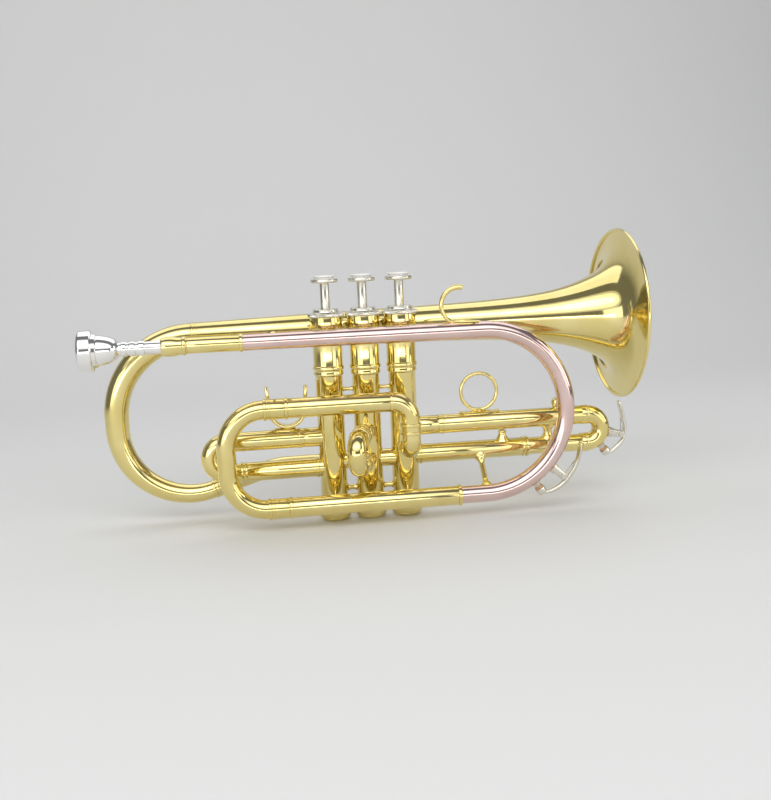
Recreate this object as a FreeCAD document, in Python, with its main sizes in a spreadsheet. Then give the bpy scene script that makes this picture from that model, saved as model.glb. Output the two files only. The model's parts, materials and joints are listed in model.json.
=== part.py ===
"""A three-valve B-flat cornet of the long pattern, as a parametric FreeCAD document, in millimetres.

Frame: +X towards the bell, +Y towards the player's left (the bell side), +Z up along the valves. The origin is the
centre of the second valve's bottom cap, on its lower face. Each sub-part is one labelled object of the document and
is written to parts/LABEL.step.
"""

import FreeCAD, Part
import Sketcher

import math
import os
import re

from FreeCAD import Placement, Rotation, Vector

# The driving dimensions: name, millimetres or degrees, and what the value is.
SIZES = [
    ("bore_r", 5.83, "radius of the main bore"),
    ("tube_wall", 0.4, "wall of the drawn tubing"),
    ("slide_gap", 0.05, "radial clearance between an inner and an outer slide tube"),
    ("inner_r", 6.23, "outside radius of an inner slide tube"),
    ("sleeve_bore", 6.28, "inside radius of an outer slide tube"),
    ("sleeve_r", 6.7, "outside radius of an outer slide tube"),
    ("bow_r", 6.4, "outside radius of a bent crook tube"),
    ("ring_r", 7.5, "outside radius of a raised ring at a tube's end"),
    ("ring_long", 2.2, "length of such a ring"),
    ("seat_gap", 0.3, "gap left where a slide meets its stop"),
    # valve cluster
    ("valve_pitch", 25.5, "distance between neighbouring valve axes"),
    ("casing_r", 9.5, "outside radius of the lower casing"),
    ("chamber_r", 10.1, "outside radius of the upper casing"),
    ("collar_r", 10.95, "outside radius of the casing's threaded collar"),
    ("casing_bore", 8.45, "inside radius of the casing where the piston runs"),
    ("chamber_bore", 8.75, "inside radius above the guide's ledge"),
    ("thread_r", 9.4, "radius of the top cap's thread"),
    ("casing_low", 2.3, "height of the casing's lower end"),
    ("ledge_high", 101.5, "height of the ledge that carries the valve guide"),
    ("baluster_high", 108.0, "top of the ringed band between lower and upper casing"),
    ("collar_low", 134.3, "lower end of the threaded collar"),
    ("collar_top", 142.0, "upper end of the threaded collar"),
    ("thread_low", 138.3, "lower end of the top cap's thread"),
    ("piston_r", 8.4, "outside radius of the piston"),
    ("piston_low", 24.5, "lower end of the piston at rest"),
    ("piston_top", 138.0, "upper end of the spring barrel at rest"),
    ("barrel_r", 7.5, "inside radius of the piston's spring barrel"),
    ("ports_low", 28.0, "lower end of the piston's ported part"),
    ("ports_top", 90.0, "upper end of the piston's ported part"),
    ("barrel_plate", 3.0, "thickness of the barrel's top plate"),
    ("stroke", 16.4, "travel of a valve"),
    ("way_r", 4.4, "radius of the piston's inner passages"),
    ("guide_thick", 2.5, "thickness of the valve guide"),
    ("guide_wide", 2.6, "width of the guide's two tongues"),
    ("guide_disc_r", 7.2, "radius of the guide's disc"),
    ("slot_wide", 3.0, "width of the barrel's guide slots"),
    ("coil_r", 6.0, "mean radius of the valve spring"),
    ("coil_wire", 0.45, "radius of the valve spring's wire"),
    ("coil_pitch", 5.0, "pitch of the valve spring"),
    ("stem_r", 3.2, "radius of the valve stem"),
    ("stem_thread_r", 2.2, "radius of the stem's threaded ends"),
    ("stem_top", 164.5, "height of the stem's shoulder under the button"),
    ("cap_r", 12.35, "radius of the top cap's flange"),
    ("cap_thick", 2.5, "thickness of the top cap's flange"),
    ("cap_hub_r", 8.75, "radius of the top cap's raised hub"),
    ("cap_top", 147.4, "height of the top cap's hub"),
    ("cap_hole", 3.3, "radius of the stem's hole in the top cap"),
    ("felt_thick", 1.55, "thickness of the felt in the top cap"),
    ("button_r", 9.25, "radius of the finger button"),
    ("button_thick", 3.2, "thickness of the finger button"),
    ("pearl_r", 8.0, "radius of the pearl disc"),
    ("pearl_deep", 1.2, "depth of the pearl's seat"),
    ("pearl_high", 2.3, "height of the pearl above the button"),
    ("base_r", 10.4, "radius of the bottom cap"),
    ("base_high", 8.0, "height of the bottom cap"),
    ("base_thick", 2.0, "thickness of the bottom cap's end"),
    ("port_wall", 12.0, "length of the cutters for the casing's ports"),
    # heights of the valve ports
    ("link_z", 41.2, "height of the tubes between the valves"),
    ("entry_z", 49.5, "height of the third valve's entry"),
    ("tail_z", 35.5, "height of the first valve's exit"),
    ("first_low", 37.6, "first slide, lower leg"),
    ("first_high", 59.2, "first slide, upper leg"),
    ("second_low", 42.8, "second slide, lower leg"),
    ("second_high", 62.1, "second slide, upper leg"),
    ("third_low", 42.2, "third slide, lower leg"),
    ("third_high", 62.4, "third slide, upper leg"),
    # valve slides, measured outwards from the valve's axis
    ("first_knuckle", 19.4, "end of the first slide's fixed knuckle"),
    ("first_inner", 66.0, "end of its fixed inner tube"),
    ("first_sleeve", 64.0, "end of its fixed outer tube"),
    ("first_leg", 15.0, "start of its moving inner leg"),
    ("first_bow", 73.4, "start of its crook"),
    ("third_knuckle", 24.1, "end of the third slide's fixed knuckle"),
    ("third_inner", 95.0, "end of its fixed inner tube"),
    ("third_sleeve", 88.8, "end of its fixed outer tube"),
    ("third_leg", 20.0, "start of its moving inner leg"),
    ("third_bow", 133.5, "start of its crook"),
    ("second_sleeve", 24.0, "end of the second slide's fixed tubes"),
    ("second_leg", 11.0, "start of its moving legs"),
    ("second_bow", 34.0, "start of its crook"),
    ("second_turn", 253.0, "heading of the second slide, degrees from +X"),
    # leadpipe and main tuning slide, in one plane on the player's right
    ("lead_y", -24.0, "plane of the leadpipe"),
    ("lead_z", 129.5, "height of the leadpipe"),
    ("low_z", 16.2, "height of the lower tube"),
    ("high_z", 84.3, "height of the upper tuning tube"),
    ("receiver_x", -134.8, "mouth of the mouthpiece receiver"),
    ("receiver_long", 16.6, "length of the receiver"),
    ("front_r", 5.3, "outside radius of the leadpipe's first stretch"),
    ("front_bore", 4.6, "its bore"),
    ("rose_x", -83.5, "joint between the first stretch and the rose-brass pipe"),
    ("rose_r", 6.0, "outside radius of the rose-brass pipe at its bend"),
    ("rose_bore", 5.5, "its bore at the bend"),
    ("bend_x", 79.0, "centre of the leadpipe's bend"),
    ("lower_joint_x", 57.5, "joint between the rose-brass pipe and the lower tube"),
    ("tuning_x", -58.0, "end of the tuning slide's outer tubes"),
    ("tuning_bow_x", -72.0, "start of the tuning crook's bends"),
    ("tuning_bend", 26.0, "bend radius of the tuning crook"),
    ("tuning_leg_x", 4.0, "inner end of the tuning crook's legs"),
    ("elbow_x", 12.6, "joint between the upper tuning tube and the elbow"),
    ("drop_x", 26.8, "place of the elbow's vertical run"),
    ("elbow_bend", 12.6, "upper bend of the elbow"),
    ("entry_bend", 9.0, "lower bend of the elbow"),
    # bell, bow and tail, in one plane on the player's left
    ("bell_y", 24.0, "plane of the bell"),
    ("bell_z", 132.0, "height of the bell's axis"),
    ("bell_wall", 0.5, "thickness of the bell"),
    ("bell_x", -118.0, "small end of the bell"),
    ("bell_tail_r", 8.9, "bell radius at its small end"),
    ("bell_valve_r", 12.0, "bell radius beside the second valve"),
    ("bell_front_x", 80.0, "station before the throat"),
    ("bell_front_r", 14.0, "bell radius there"),
    ("throat_x", 125.0, "station at the throat"),
    ("throat_r", 17.0, "bell radius there"),
    ("swell_x", 150.0, "station where the bell starts to open"),
    ("swell_r", 21.3, "bell radius there"),
    ("flare_x", 168.0, "station in the flare"),
    ("flare_r", 27.4, "bell radius there"),
    ("mouth_x", 181.0, "station in the mouth"),
    ("mouth_r", 35.0, "bell radius there"),
    ("lip_x", 188.0, "station near the lip"),
    ("lip_r", 44.5, "bell radius there"),
    ("rim_x", 191.2, "plane of the rim"),
    ("rim_r", 60.7, "bell radius at the rim"),
    ("rim_wire", 1.2, "radius of the rim's bead"),
    ("bow_top_bend", 55.3, "upper bend of the bell bow"),
    ("bow_side", 8.0, "straight between the bow's two bends"),
    ("bow_low_bend", 49.3, "lower bend of the bell bow"),
    ("bow_lean", 17.0, "how far the bow turns past level, degrees"),
    ("tail_r", 6.25, "outside radius of the tail and of the bow's lower end"),
    ("tail_bend", 60.0, "bend where the tail levels out"),
    ("tail_turn", 13.0, "bend where the tail turns into the first valve"),
    # mouthpiece
    ("rim_out_r", 13.1, "outside radius of the mouthpiece rim"),
    ("cup_r", 8.1, "inside radius of the rim"),
    ("cup_deep", 13.5, "depth of the cup"),
    ("throat_bore", 1.85, "radius of the mouthpiece's throat"),
    ("shank_r", 4.25, "radius of the shank at the receiver's mouth"),
    ("shank_tip_r", 3.85, "radius of the shank's tip"),
    ("shank_x", 52.1, "distance from the rim to the receiver's mouth"),
    ("mouthpiece_long", 72.1, "length of the mouthpiece"),
    ("shank_gap", 0.03, "radial clearance of the shank in the receiver"),
    # finger ring, thumb saddle, hook, braces
    ("ring_x", 54.3, "finger ring, from the third valve's axis"),
    ("ring_mean_r", 12.9, "mean radius of the finger ring"),
    ("ring_wire", 1.2, "radius of its wire"),
    ("pad_thick", 1.2, "thickness of a soldered foot"),
    ("saddle_x", 30.0, "thumb saddle, from the first valve's axis"),
    ("saddle_r", 11.2, "inside radius of the saddle's bottom"),
    ("saddle_thick", 1.8, "thickness of the saddle's strip"),
    ("saddle_wide", 9.0, "width of the saddle's strip"),
    ("saddle_high", 15.5, "height of its straight prongs"),
    ("saddle_foot", 16.0, "length of the saddle's foot, which stops short of the slide's end ring"),
    ("hook_x", 62.2, "centre of the finger hook"),
    ("hook_z", 147.0, "height of that centre"),
    ("hook_bend", 12.0, "radius of the hook"),
    ("hook_wire", 1.6, "radius of the hook's rod"),
    ("strut_r", 1.9, "radius of a brace's rod"),
    ("strut_foot_r", 4.4, "radius of a brace's flared foot"),
    ("strut_foot_long", 4.5, "length of that foot"),
    ("stay_x", 104.1, "third slide's stay, from the third valve's axis"),
    ("knob_x", 111.0, "third slide's knob, from the third valve's axis"),
    ("knob_r", 3.9, "radius of that knob"),
    ("post_x", 70.6, "post on the third slide's outer tube, from the third valve's axis"),
    # water keys
    ("key_wide", 4.8, "width of a water key's lever"),
    ("key_thick", 1.8, "thickness of the lever"),
    ("key_pin", 1.0, "radius of its pivot screw"),
    ("key_pin_gap", 0.05, "clearance of the lever on the screw"),
    ("key_cheek", 1.1, "thickness of the saddle's cheeks"),
    ("key_cheek_y", 3.1, "inner face of a cheek from the key's middle"),
    ("key_hub_r", 2.4, "radius of the lever's hub"),
    ("key_coil_r", 1.85, "mean radius of the key's spring"),
    ("key_wire", 0.4, "radius of the spring's wire"),
    ("nipple_r", 2.5, "radius of the drain nipple"),
    ("nipple_bore", 1.2, "its bore"),
    ("nipple_high", 2.4, "its height above the tube"),
    ("cork_r", 2.9, "radius of the cork"),
    ("cork_thick", 3.0, "thickness of the cork"),
    ("cork_gap", 0.1, "gap between the cork and the nipple"),
    ("cork_sunk", 1.2, "depth of the cork in its cup"),
    ("key_hub_wide", 3.0, "width of the lever's hub"),
    ("cup_wall", 0.6, "wall of the cork's cup"),
]

TO_X = Rotation(Vector(0, 1, 0), 90)
UPRIGHT = Rotation(Vector(1, 0, 0), 90)
LEVEL = Rotation()
ORIGIN = ("0", "0", "0")

doc = FreeCAD.newDocument("Cornet")
sheet = doc.addObject("Spreadsheet::Sheet", "sizes")
PARTS = []


def fill_sheet():
    for row, (name, number, note) in enumerate(SIZES, start=1):
        sheet.set(f"A{row}", name)
        sheet.set(f"B{row}", str(number))
        sheet.set(f"C{row}", note)
        sheet.setAlias(f"B{row}", name)
    doc.recompute()


NAMES = {name for name, _, _ in SIZES}


def linked(formula):
    """The formula with each size's name pointed at its cell."""
    return re.sub(r"[a-z]\w*", lambda m: f"sizes.{m[0]}" if m[0] in NAMES else m[0], formula)


def value(formula):
    return float(sheet.evalExpression(formula))


def bind(obj, **formulas):
    for name, formula in formulas.items():
        obj.setExpression(name, linked(formula))


def place(obj, at, rotation=LEVEL):
    """Puts an object at three formulas with a fixed rotation, and ties its place to them."""
    obj.Placement = Placement(Vector(*[value(c) for c in at]), rotation)
    for axis, formula in zip("xyz", at):
        obj.setExpression(f".Placement.Base.{axis}", linked(formula))
    return obj


def kept(obj, label):
    """Marks an object as a finished sub-part."""
    obj.Label = label
    PARTS.append(obj)
    return obj


# ---------------------------------------------------------------- primitives and booleans

def rod(name, radius, length, at=ORIGIN, rotation=TO_X):
    obj = doc.addObject("Part::Cylinder", name)
    bind(obj, Radius=radius, Height=length)
    return place(obj, at, rotation)


def taper(name, start_r, end_r, length, at=ORIGIN, rotation=TO_X):
    obj = doc.addObject("Part::Cone", name)
    bind(obj, Radius1=start_r, Radius2=end_r, Height=length)
    return place(obj, at, rotation)


def bend(name, bend_r, tube_r, start, sweep, at):
    """A bent rod in an upright plane along X, swept anticlockwise as seen from -Y."""
    obj = doc.addObject("Part::Torus", name)
    bind(obj, Radius1=bend_r, Radius2=tube_r, Angle3=sweep)
    return place(obj, at, UPRIGHT * Rotation(Vector(0, 0, 1), start))


def block(name, size, at):
    obj = doc.addObject("Part::Box", name)
    bind(obj, Length=size[0], Width=size[1], Height=size[2])
    return place(obj, at)


def joined(name, shapes):
    if len(shapes) == 1:
        return shapes[0]
    obj = doc.addObject("Part::MultiFuse", name)
    obj.Shapes = shapes
    return obj


def without(name, base, tools):
    obj = doc.addObject("Part::Cut", name)
    obj.Base = base
    obj.Tool = joined(name + "_tools", tools)
    return obj


def group(name, shapes):
    obj = doc.addObject("Part::Compound", name)
    obj.Links = shapes
    return obj


def feature(name, shape):
    obj = doc.addObject("Part::Feature", name)
    placement = shape.Placement
    obj.Shape = shape
    obj.Placement = placement
    return obj


def turned(name, outline, at=ORIGIN, rotation=LEVEL):
    """A body turned about its X axis from a closed outline.

    A corner is (along, radius). A third and fourth entry make the side that follows it an arc through that point.
    """
    body = doc.addObject("PartDesign::Body", name)
    sketch = body.newObject("Sketcher::SketchObject", name + "_outline")
    plane = next(f for f in body.Origin.OriginFeatures if f.Role == "XZ_Plane")
    sketch.AttachmentSupport = [(plane, "")]
    sketch.MapMode = "FlatFace"
    corners = [Vector(value(c[0]), value(c[1]), 0) for c in outline]
    ends = []
    for i, corner in enumerate(outline):
        start, end = corners[i], corners[(i + 1) % len(corners)]
        if len(corner) == 4:
            through = Vector(value(corner[2]), value(corner[3]), 0)
            side = sketch.addGeometry(Part.Arc(start, through, end))
            flipped = sketch.getPoint(side, 1).distanceToPoint(start) > 1e-6
            radius = sketch.Geometry[side].Radius
            sketch.addConstraint(Sketcher.Constraint("Radius", side, radius))
            ends.append((side, 2, 1) if flipped else (side, 1, 2))
        else:
            side = sketch.addGeometry(Part.LineSegment(start, end))
            ends.append((side, 1, 2))
    for i, (side, first, last) in enumerate(ends):
        follower, follower_first, _ = ends[(i + 1) % len(ends)]
        sketch.addConstraint(Sketcher.Constraint("Coincident", side, last, follower, follower_first))
        for kind, formula in zip(("DistanceX", "DistanceY"), outline[i]):
            number = value(formula)
            if abs(number) < 1e-9:
                axis = -2 if kind == "DistanceX" else -1
                sketch.addConstraint(Sketcher.Constraint("PointOnObject", side, first, axis))
            else:
                tie = sketch.addConstraint(Sketcher.Constraint(kind, side, first, number))
                sketch.setExpression(f"Constraints[{tie}]", linked(formula))
    turn = body.newObject("PartDesign::Revolution", name + "_turned")
    turn.Profile = sketch
    turn.ReferenceAxis = (sketch, ["H_Axis"])
    turn.Angle = 360
    return place(body, at, rotation)


UP = Rotation(Vector(0, 1, 0), -90)


def ring(name, outer, inner, length, at, rotation=TO_X):
    """A plain ring on a tube."""
    return without(name, rod(name + "_out", outer, length, at, rotation),
                   [rod(name + "_in", inner, length, at, rotation)])


def foot(name, tube_r, length, spread, at, roll=0):
    """A soldered foot that wraps part of a tube along X; it sits on top, or is rolled about X."""
    turn = Rotation(Vector(1, 0, 0), roll) * TO_X * Rotation(Vector(0, 0, 1), 180 - spread / 2)
    shell = rod(name + "_shell", f"{tube_r} + pad_thick", length, at, turn)
    shell.Angle = spread
    return without(name, shell, [rod(name + "_tube", tube_r, length, at)])


# ---------------------------------------------------------------- routes and swept tubes

def rounded_route(corners, radii):
    """A wire of straight runs joined by tangent arcs; radii go with the inner corners."""
    edges = []
    last = corners[0]
    for before, corner, after, radius in zip(corners, corners[1:], corners[2:], radii):
        arriving = (corner - before).normalize()
        leaving = (after - corner).normalize()
        half = arriving.getAngle(leaving) / 2
        back = radius * math.tan(half)
        start = corner - arriving * back
        end = corner + leaving * back
        inward = (leaving - arriving).normalize()
        middle = corner + inward * (radius / math.cos(half) - radius)
        edges.append(Part.LineSegment(last, start).toShape())
        edges.append(Part.Arc(start, middle, end).toShape())
        last = end
    edges.append(Part.LineSegment(last, corners[-1]).toShape())
    return Part.Wire(edges)


def swept(route, radius):
    """A solid rod along a route: a cylinder for each straight run and a turned disc for each bend."""
    runs = []
    for edge in route.Edges:
        start = edge.valueAt(edge.FirstParameter)
        along = edge.tangentAt(edge.FirstParameter)
        if isinstance(edge.Curve, Part.Circle):
            disc = Part.Face(Part.Wire(Part.makeCircle(radius, start, along)))
            turn = edge.Length / edge.Curve.Radius
            runs.append(disc.revolve(edge.Curve.Center, turn_axis(edge), math.degrees(turn)))
        else:
            runs.append(Part.makeCylinder(radius, edge.Length, start, along))
    return runs[0].fuse(runs[1:])


def turn_axis(edge):
    """The axis about which an arc turns, pointing so that the turn is positive."""
    start = edge.valueAt(edge.FirstParameter) - edge.Curve.Center
    return start.cross(edge.tangentAt(edge.FirstParameter)).normalize()


def solid_of(shape):
    """The one solid of a boolean result, so that a sub-part isn't a nest of compounds."""
    return shape.Solids[0] if len(shape.Solids) == 1 else Part.Compound(shape.Solids)


def upright(x, y, radius, top):
    return Part.makeCylinder(radius, top, Vector(x, y, 0))


# ---------------------------------------------------------------- valve cluster

VALVES = (1, 2, 3)
VALVE_X = {1: "-valve_pitch", 2: "0", 3: "valve_pitch"}
# Each valve's ports as (heading in degrees from +X, height): the way in, the way out, and the slide's two legs.
PORTS = {
    1: {"inlet": ("0", "link_z"), "outlet": ("90", "tail_z"), "high": ("180", "first_high"),
        "low": ("180", "first_low")},
    2: {"inlet": ("0", "link_z"), "outlet": ("180", "link_z"), "high": ("second_turn", "second_high"),
        "low": ("second_turn", "second_low")},
    3: {"inlet": ("270", "entry_z"), "outlet": ("180", "link_z"), "high": ("0", "third_high"),
        "low": ("0", "third_low")},
}
# Each piston's passages: where the passage bends, from the valve's axis, the two ports it joins, and whether it
# joins them with the valve pressed.
PASSAGES = {
    1: (((0, 0, 38.4), ("inlet", "outlet"), False), ((0, 0, 66.6), ("inlet", "high"), True),
        ((0, 0, 53.0), ("outlet", "low"), True)),
    2: (((0, 0, 41.2), ("inlet", "outlet"), False), ((0, 0, 71.6), ("inlet", "high"), True),
        ((-2.4, -1.8, 58.2), ("outlet", "low"), True)),
    3: (((0, 0, 45.3), ("inlet", "outlet"), False), ((0, 0, 72.4), ("inlet", "high"), True),
        ((0, 0, 58.1), ("outlet", "low"), True)),
}


def level_heading(degrees):
    return Rotation(Vector(0, 0, 1), degrees) * TO_X


def valve_casing(k):
    name = f"valve_casing_{k}"
    tube = turned(name + "_tube", [
        ("casing_low", "casing_bore"), ("ledge_high", "casing_bore"), ("ledge_high", "chamber_bore"),
        ("thread_low", "chamber_bore"), ("thread_low", "thread_r"), ("collar_top", "thread_r"),
        ("collar_top", "collar_r"), ("collar_low", "collar_r"), ("collar_low - 0.6", "chamber_r"),
        ("baluster_high + 0.6", "chamber_r"), ("baluster_high", "chamber_r + 0.7"),
        ("baluster_high - 2", "chamber_r + 0.7"), ("baluster_high - 2.6", "chamber_r + 0.1"),
        ("baluster_high - 4.4", "chamber_r + 0.1"), ("baluster_high - 5", "casing_r + 0.9"),
        ("baluster_high - 6.2", "casing_r + 0.9"), ("baluster_high - 6.8", "casing_r"),
        ("casing_low", "casing_r")], (VALVE_X[k], "0", "0"), UP)
    holes = [rod(f"{name}_{side}", "bore_r", "port_wall", (VALVE_X[k], "0", height),
                 level_heading(value(degrees))) for side, (degrees, height) in PORTS[k].items()]
    return kept(without(name, tube, holes), name)


def passage(name, k, knee, sides, pressed):
    """Cutters for one passage: a ball at its bend and a drilling from there out to each of its two ports."""
    centre = Vector(value(VALVE_X[k]), 0, 0) + Vector(*knee)
    ball = doc.addObject("Part::Sphere", name + "_ball")
    bind(ball, Radius="way_r + 0.2")
    cutters = [place(ball, [f"{c:.4f}" for c in centre])]
    for side in sides:
        degrees, height = PORTS[k][side]
        raised = value(height) + (value("stroke") if pressed else 0)
        mouth = Rotation(Vector(0, 0, 1), value(degrees)).multVec(Vector(value("piston_r"), 0, raised))
        way = mouth - Vector(*knee)
        cutters.append(rod(f"{name}_{side}", "way_r", f"{way.Length + 3:.4f}", [f"{c:.4f}" for c in centre],
                           Rotation(Vector(0, 0, 1), way)))
    return cutters


def piston(k):
    name = f"piston_{k}"
    x = VALVE_X[k]
    body = rod(name + "_body", "piston_r", "piston_top - piston_low", (x, "0", "piston_low"), LEVEL)
    cutters = [
        rod(name + "_skirt", "barrel_r", "ports_low - piston_low", (x, "0", "piston_low"), LEVEL),
        rod(name + "_barrel", "barrel_r", "piston_top - barrel_plate - ports_top", (x, "0", "ports_top"), LEVEL),
        rod(name + "_thread", "stem_thread_r", "barrel_plate", (x, "0", "piston_top - barrel_plate"), LEVEL),
        block(name + "_slot", ("2 * piston_r + 2", "slot_wide", "stroke + guide_thick + 1.1"),
              (f"{x} - piston_r - 1", "-slot_wide / 2", "ledge_high - 0.5")),
    ]
    for i, (knee, sides, pressed) in enumerate(PASSAGES[k]):
        cutters += passage(f"{name}_way_{i}", k, knee, sides, pressed)
    return kept(without(name, body, cutters), name)


def stem(k):
    name = f"stem_{k}"
    return kept(turned(name, [
        ("piston_top - barrel_plate", "0"), ("piston_top - barrel_plate", "stem_thread_r"),
        ("piston_top", "stem_thread_r"), ("piston_top", "stem_r"), ("stem_top", "stem_r"),
        ("stem_top", "stem_thread_r - 0.4"), ("stem_top + button_thick - pearl_deep - 0.4", "stem_thread_r - 0.4"),
        ("stem_top + button_thick - pearl_deep - 0.4", "0")], (VALVE_X[k], "0", "0"), UP), name)


def finger_button(k):
    name = f"finger_button_{k}"
    seat = "stem_top + button_thick - pearl_deep"
    return kept(turned(name, [
        ("stem_top", "stem_thread_r - 0.4"), ("stem_top", "stem_r + 0.4"), ("stem_top + 0.9", "stem_r + 1.6"),
        ("stem_top + 0.9", "button_r - 0.5", "stem_top + 1.0", "button_r - 0.1"),
        ("stem_top + 1.5", "button_r"),
        ("stem_top + button_thick - 0.4", "button_r", "stem_top + button_thick - 0.1", "button_r - 0.12"),
        ("stem_top + button_thick", "button_r - 0.4"), ("stem_top + button_thick", "pearl_r"), (seat, "pearl_r"),
        (seat, "0"), (f"{seat} - 0.4", "0"), (f"{seat} - 0.4", "stem_thread_r - 0.4")],
        (VALVE_X[k], "0", "0"), UP), name)


def pearl(k):
    name = f"pearl_{k}"
    seat = "stem_top + button_thick - pearl_deep"
    crown = "stem_top + button_thick + pearl_high"
    return kept(turned(name, [
        (seat, "0"), (seat, "pearl_r"), (f"{crown} - 1.1", "pearl_r", f"{crown} - 0.5", "pearl_r - 0.4"),
        (f"{crown} - 0.35", "pearl_r - 1.1", f"{crown} - 0.08", "pearl_r * 0.45"), (crown, "0.5"), (crown, "0")],
        (VALVE_X[k], "0", "0"), UP), name)


def valve_spring(k):
    """An open coil between the guide and the barrel's top plate, made at the origin and then moved."""
    low = value("ledge_high + guide_thick + coil_wire + 0.1")
    high = value("piston_top - barrel_plate - coil_wire - 0.1")
    helix = Part.makeHelix(value("coil_pitch"), high - low, value("coil_r"))
    section = Part.makeCircle(value("coil_wire"), Vector(value("coil_r"), 0, 0), Vector(0, 1, 0))
    coil = Part.Wire(helix.Edges).makePipeShell([Part.Wire(section)], True, True)
    coil.translate(Vector(value(VALVE_X[k]), 0, low))
    name = f"valve_spring_{k}"
    return kept(feature(name, coil), name)


def cap_group(label, make):
    return kept(group(label, [make(k) for k in VALVES]), label)


def top_cap(k):
    hub = "collar_top + cap_thick"
    return turned(f"top_cap_{k}", [
        ("thread_low", "thread_r"), ("collar_top", "thread_r"), ("collar_top", "cap_r - 0.4"),
        ("collar_top + 0.4", "cap_r"), (f"{hub} - 0.4", "cap_r"), (hub, "cap_r - 0.4"),
        (hub, "cap_hub_r + 0.8", f"{hub} + 0.25", "cap_hub_r + 0.25"), (f"{hub} + 0.8", "cap_hub_r"),
        ("cap_top - 0.5", "cap_hub_r", "cap_top - 0.15", "cap_hub_r - 0.15"), ("cap_top", "cap_hub_r - 0.5"),
        ("cap_top", "cap_hole"), ("thread_low + felt_thick", "cap_hole"),
        ("thread_low + felt_thick", "thread_r - 0.8"), ("thread_low", "thread_r - 0.8")],
        (VALVE_X[k], "0", "0"), UP)


def cap_felt(k):
    return ring(f"cap_felt_{k}", "thread_r - 0.9", "cap_hole + 0.1", "felt_thick - 0.1",
                (VALVE_X[k], "0", "thread_low + 0.05"), LEVEL)


def bottom_cap(k):
    return turned(f"bottom_cap_{k}", [
        ("0", "0"), ("0", "base_r - 1.4"), ("0.5", "base_r - 0.9"), ("1.2", "base_r - 0.9"),
        ("1.6", "base_r"), ("base_high - 0.6", "base_r"), ("base_high", "base_r - 0.5"),
        ("base_high", "casing_r"), ("base_thick", "casing_r"), ("base_thick", "0")],
        (VALVE_X[k], "0", "0"), UP)


def valve_guide(k):
    """A disc with two tongues that run in the barrel's slots and rest on the casing's ledge."""
    x = VALVE_X[k]
    at = (x, "0", "ledge_high")
    disc = rod(f"guide_disc_{k}", "guide_disc_r", "guide_thick", at, LEVEL)
    tongues = doc.addObject("Part::Common", f"guide_tongues_{k}")
    tongues.Base = block(f"guide_bar_{k}", ("2 * chamber_bore", "guide_wide", "guide_thick"),
                         (f"{x} - chamber_bore", "-guide_wide / 2", "ledge_high"))
    tongues.Tool = rod(f"guide_round_{k}", "chamber_bore - 0.05", "guide_thick", at, LEVEL)
    whole = joined(f"guide_whole_{k}", [disc, tongues])
    return without(f"guide_{k}", whole, [rod(f"guide_hole_{k}", "stem_r", "guide_thick", at, LEVEL)])


def casing_envelopes(name, valves, radius="casing_r"):
    return [rod(f"{name}_casing_{k}", radius, "collar_top", (VALVE_X[k], "0", "0"), LEVEL) for k in valves]


def link_tubes():
    """The short tubes that carry the air from valve to valve, notched where the second slide's tube leaves."""
    links = []
    second_out = Rotation(Vector(0, 0, 1), value("second_turn")).multiply(TO_X)
    for k in (1, 2):
        name = f"link_tube_{k}"
        at = (VALVE_X[k], "0", "link_z")
        notch = rod(name + "_notch", "sleeve_r + slide_gap", "second_sleeve", ("0", "0", "second_low"),
                    second_out)
        links.append(without(name, rod(name + "_out", "inner_r", "valve_pitch", at),
                             [rod(name + "_in", "bore_r", "valve_pitch", at), notch]
                             + casing_envelopes(name, (k, k + 1))))
    return kept(group("intervalve_tubes", links), "intervalve_tubes")


def casing_studs():
    """Six studs that tie neighbouring casings together: below the caps, above the ports and near the bottom."""
    studs = []
    rows = (("high", "collar_top - 2.4", "1.3", "collar_r"), ("middle", "91.5", "1.7", "casing_r"),
            ("low", "21.5", "2.4", "casing_r"))
    for row, height, radius, casing in rows:
        for k in (1, 2):
            name = f"stud_{row}_{k}"
            waist = rod(name + "_rod", f"{radius} * 0.75", "valve_pitch", (VALVE_X[k], "0", height))
            ends = [taper(f"{name}_flare_{side}", f"{radius} * {start}", f"{radius} * {end}", "3",
                          (f"{VALVE_X[k]} + valve_pitch / 2 + {shift}", "0", height))
                    for side, start, end, shift in (("a", 1.6, 0.75, -4), ("b", 0.75, 1.6, 1))]
            studs.append(without(name, joined(name + "_whole", [waist] + ends),
                                 casing_envelopes(name, (k, k + 1), casing)))
    return kept(group("casing_studs", studs), "casing_studs")


# ---------------------------------------------------------------- valve slides, built outwards along +X

SLIDE_TURN = {"first": 180, "second": 253, "third": 0}
SLIDE_VALVE = {"first": 1, "second": 2, "third": 3}


def on_valve(obj, slide):
    """Turns a piece built along +X so that it points out of its valve."""
    return place(obj, (VALVE_X[SLIDE_VALVE[slide]], "0", "0"), Rotation(Vector(0, 0, 1), SLIDE_TURN[slide]))


def half_bow(name, slide, radius):
    high, low = f"{slide}_high", f"{slide}_low"
    return bend(name, f"({high} - {low}) / 2", radius, -90, "180", (f"{slide}_bow", "0", f"({high} + {low}) / 2"))


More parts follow.
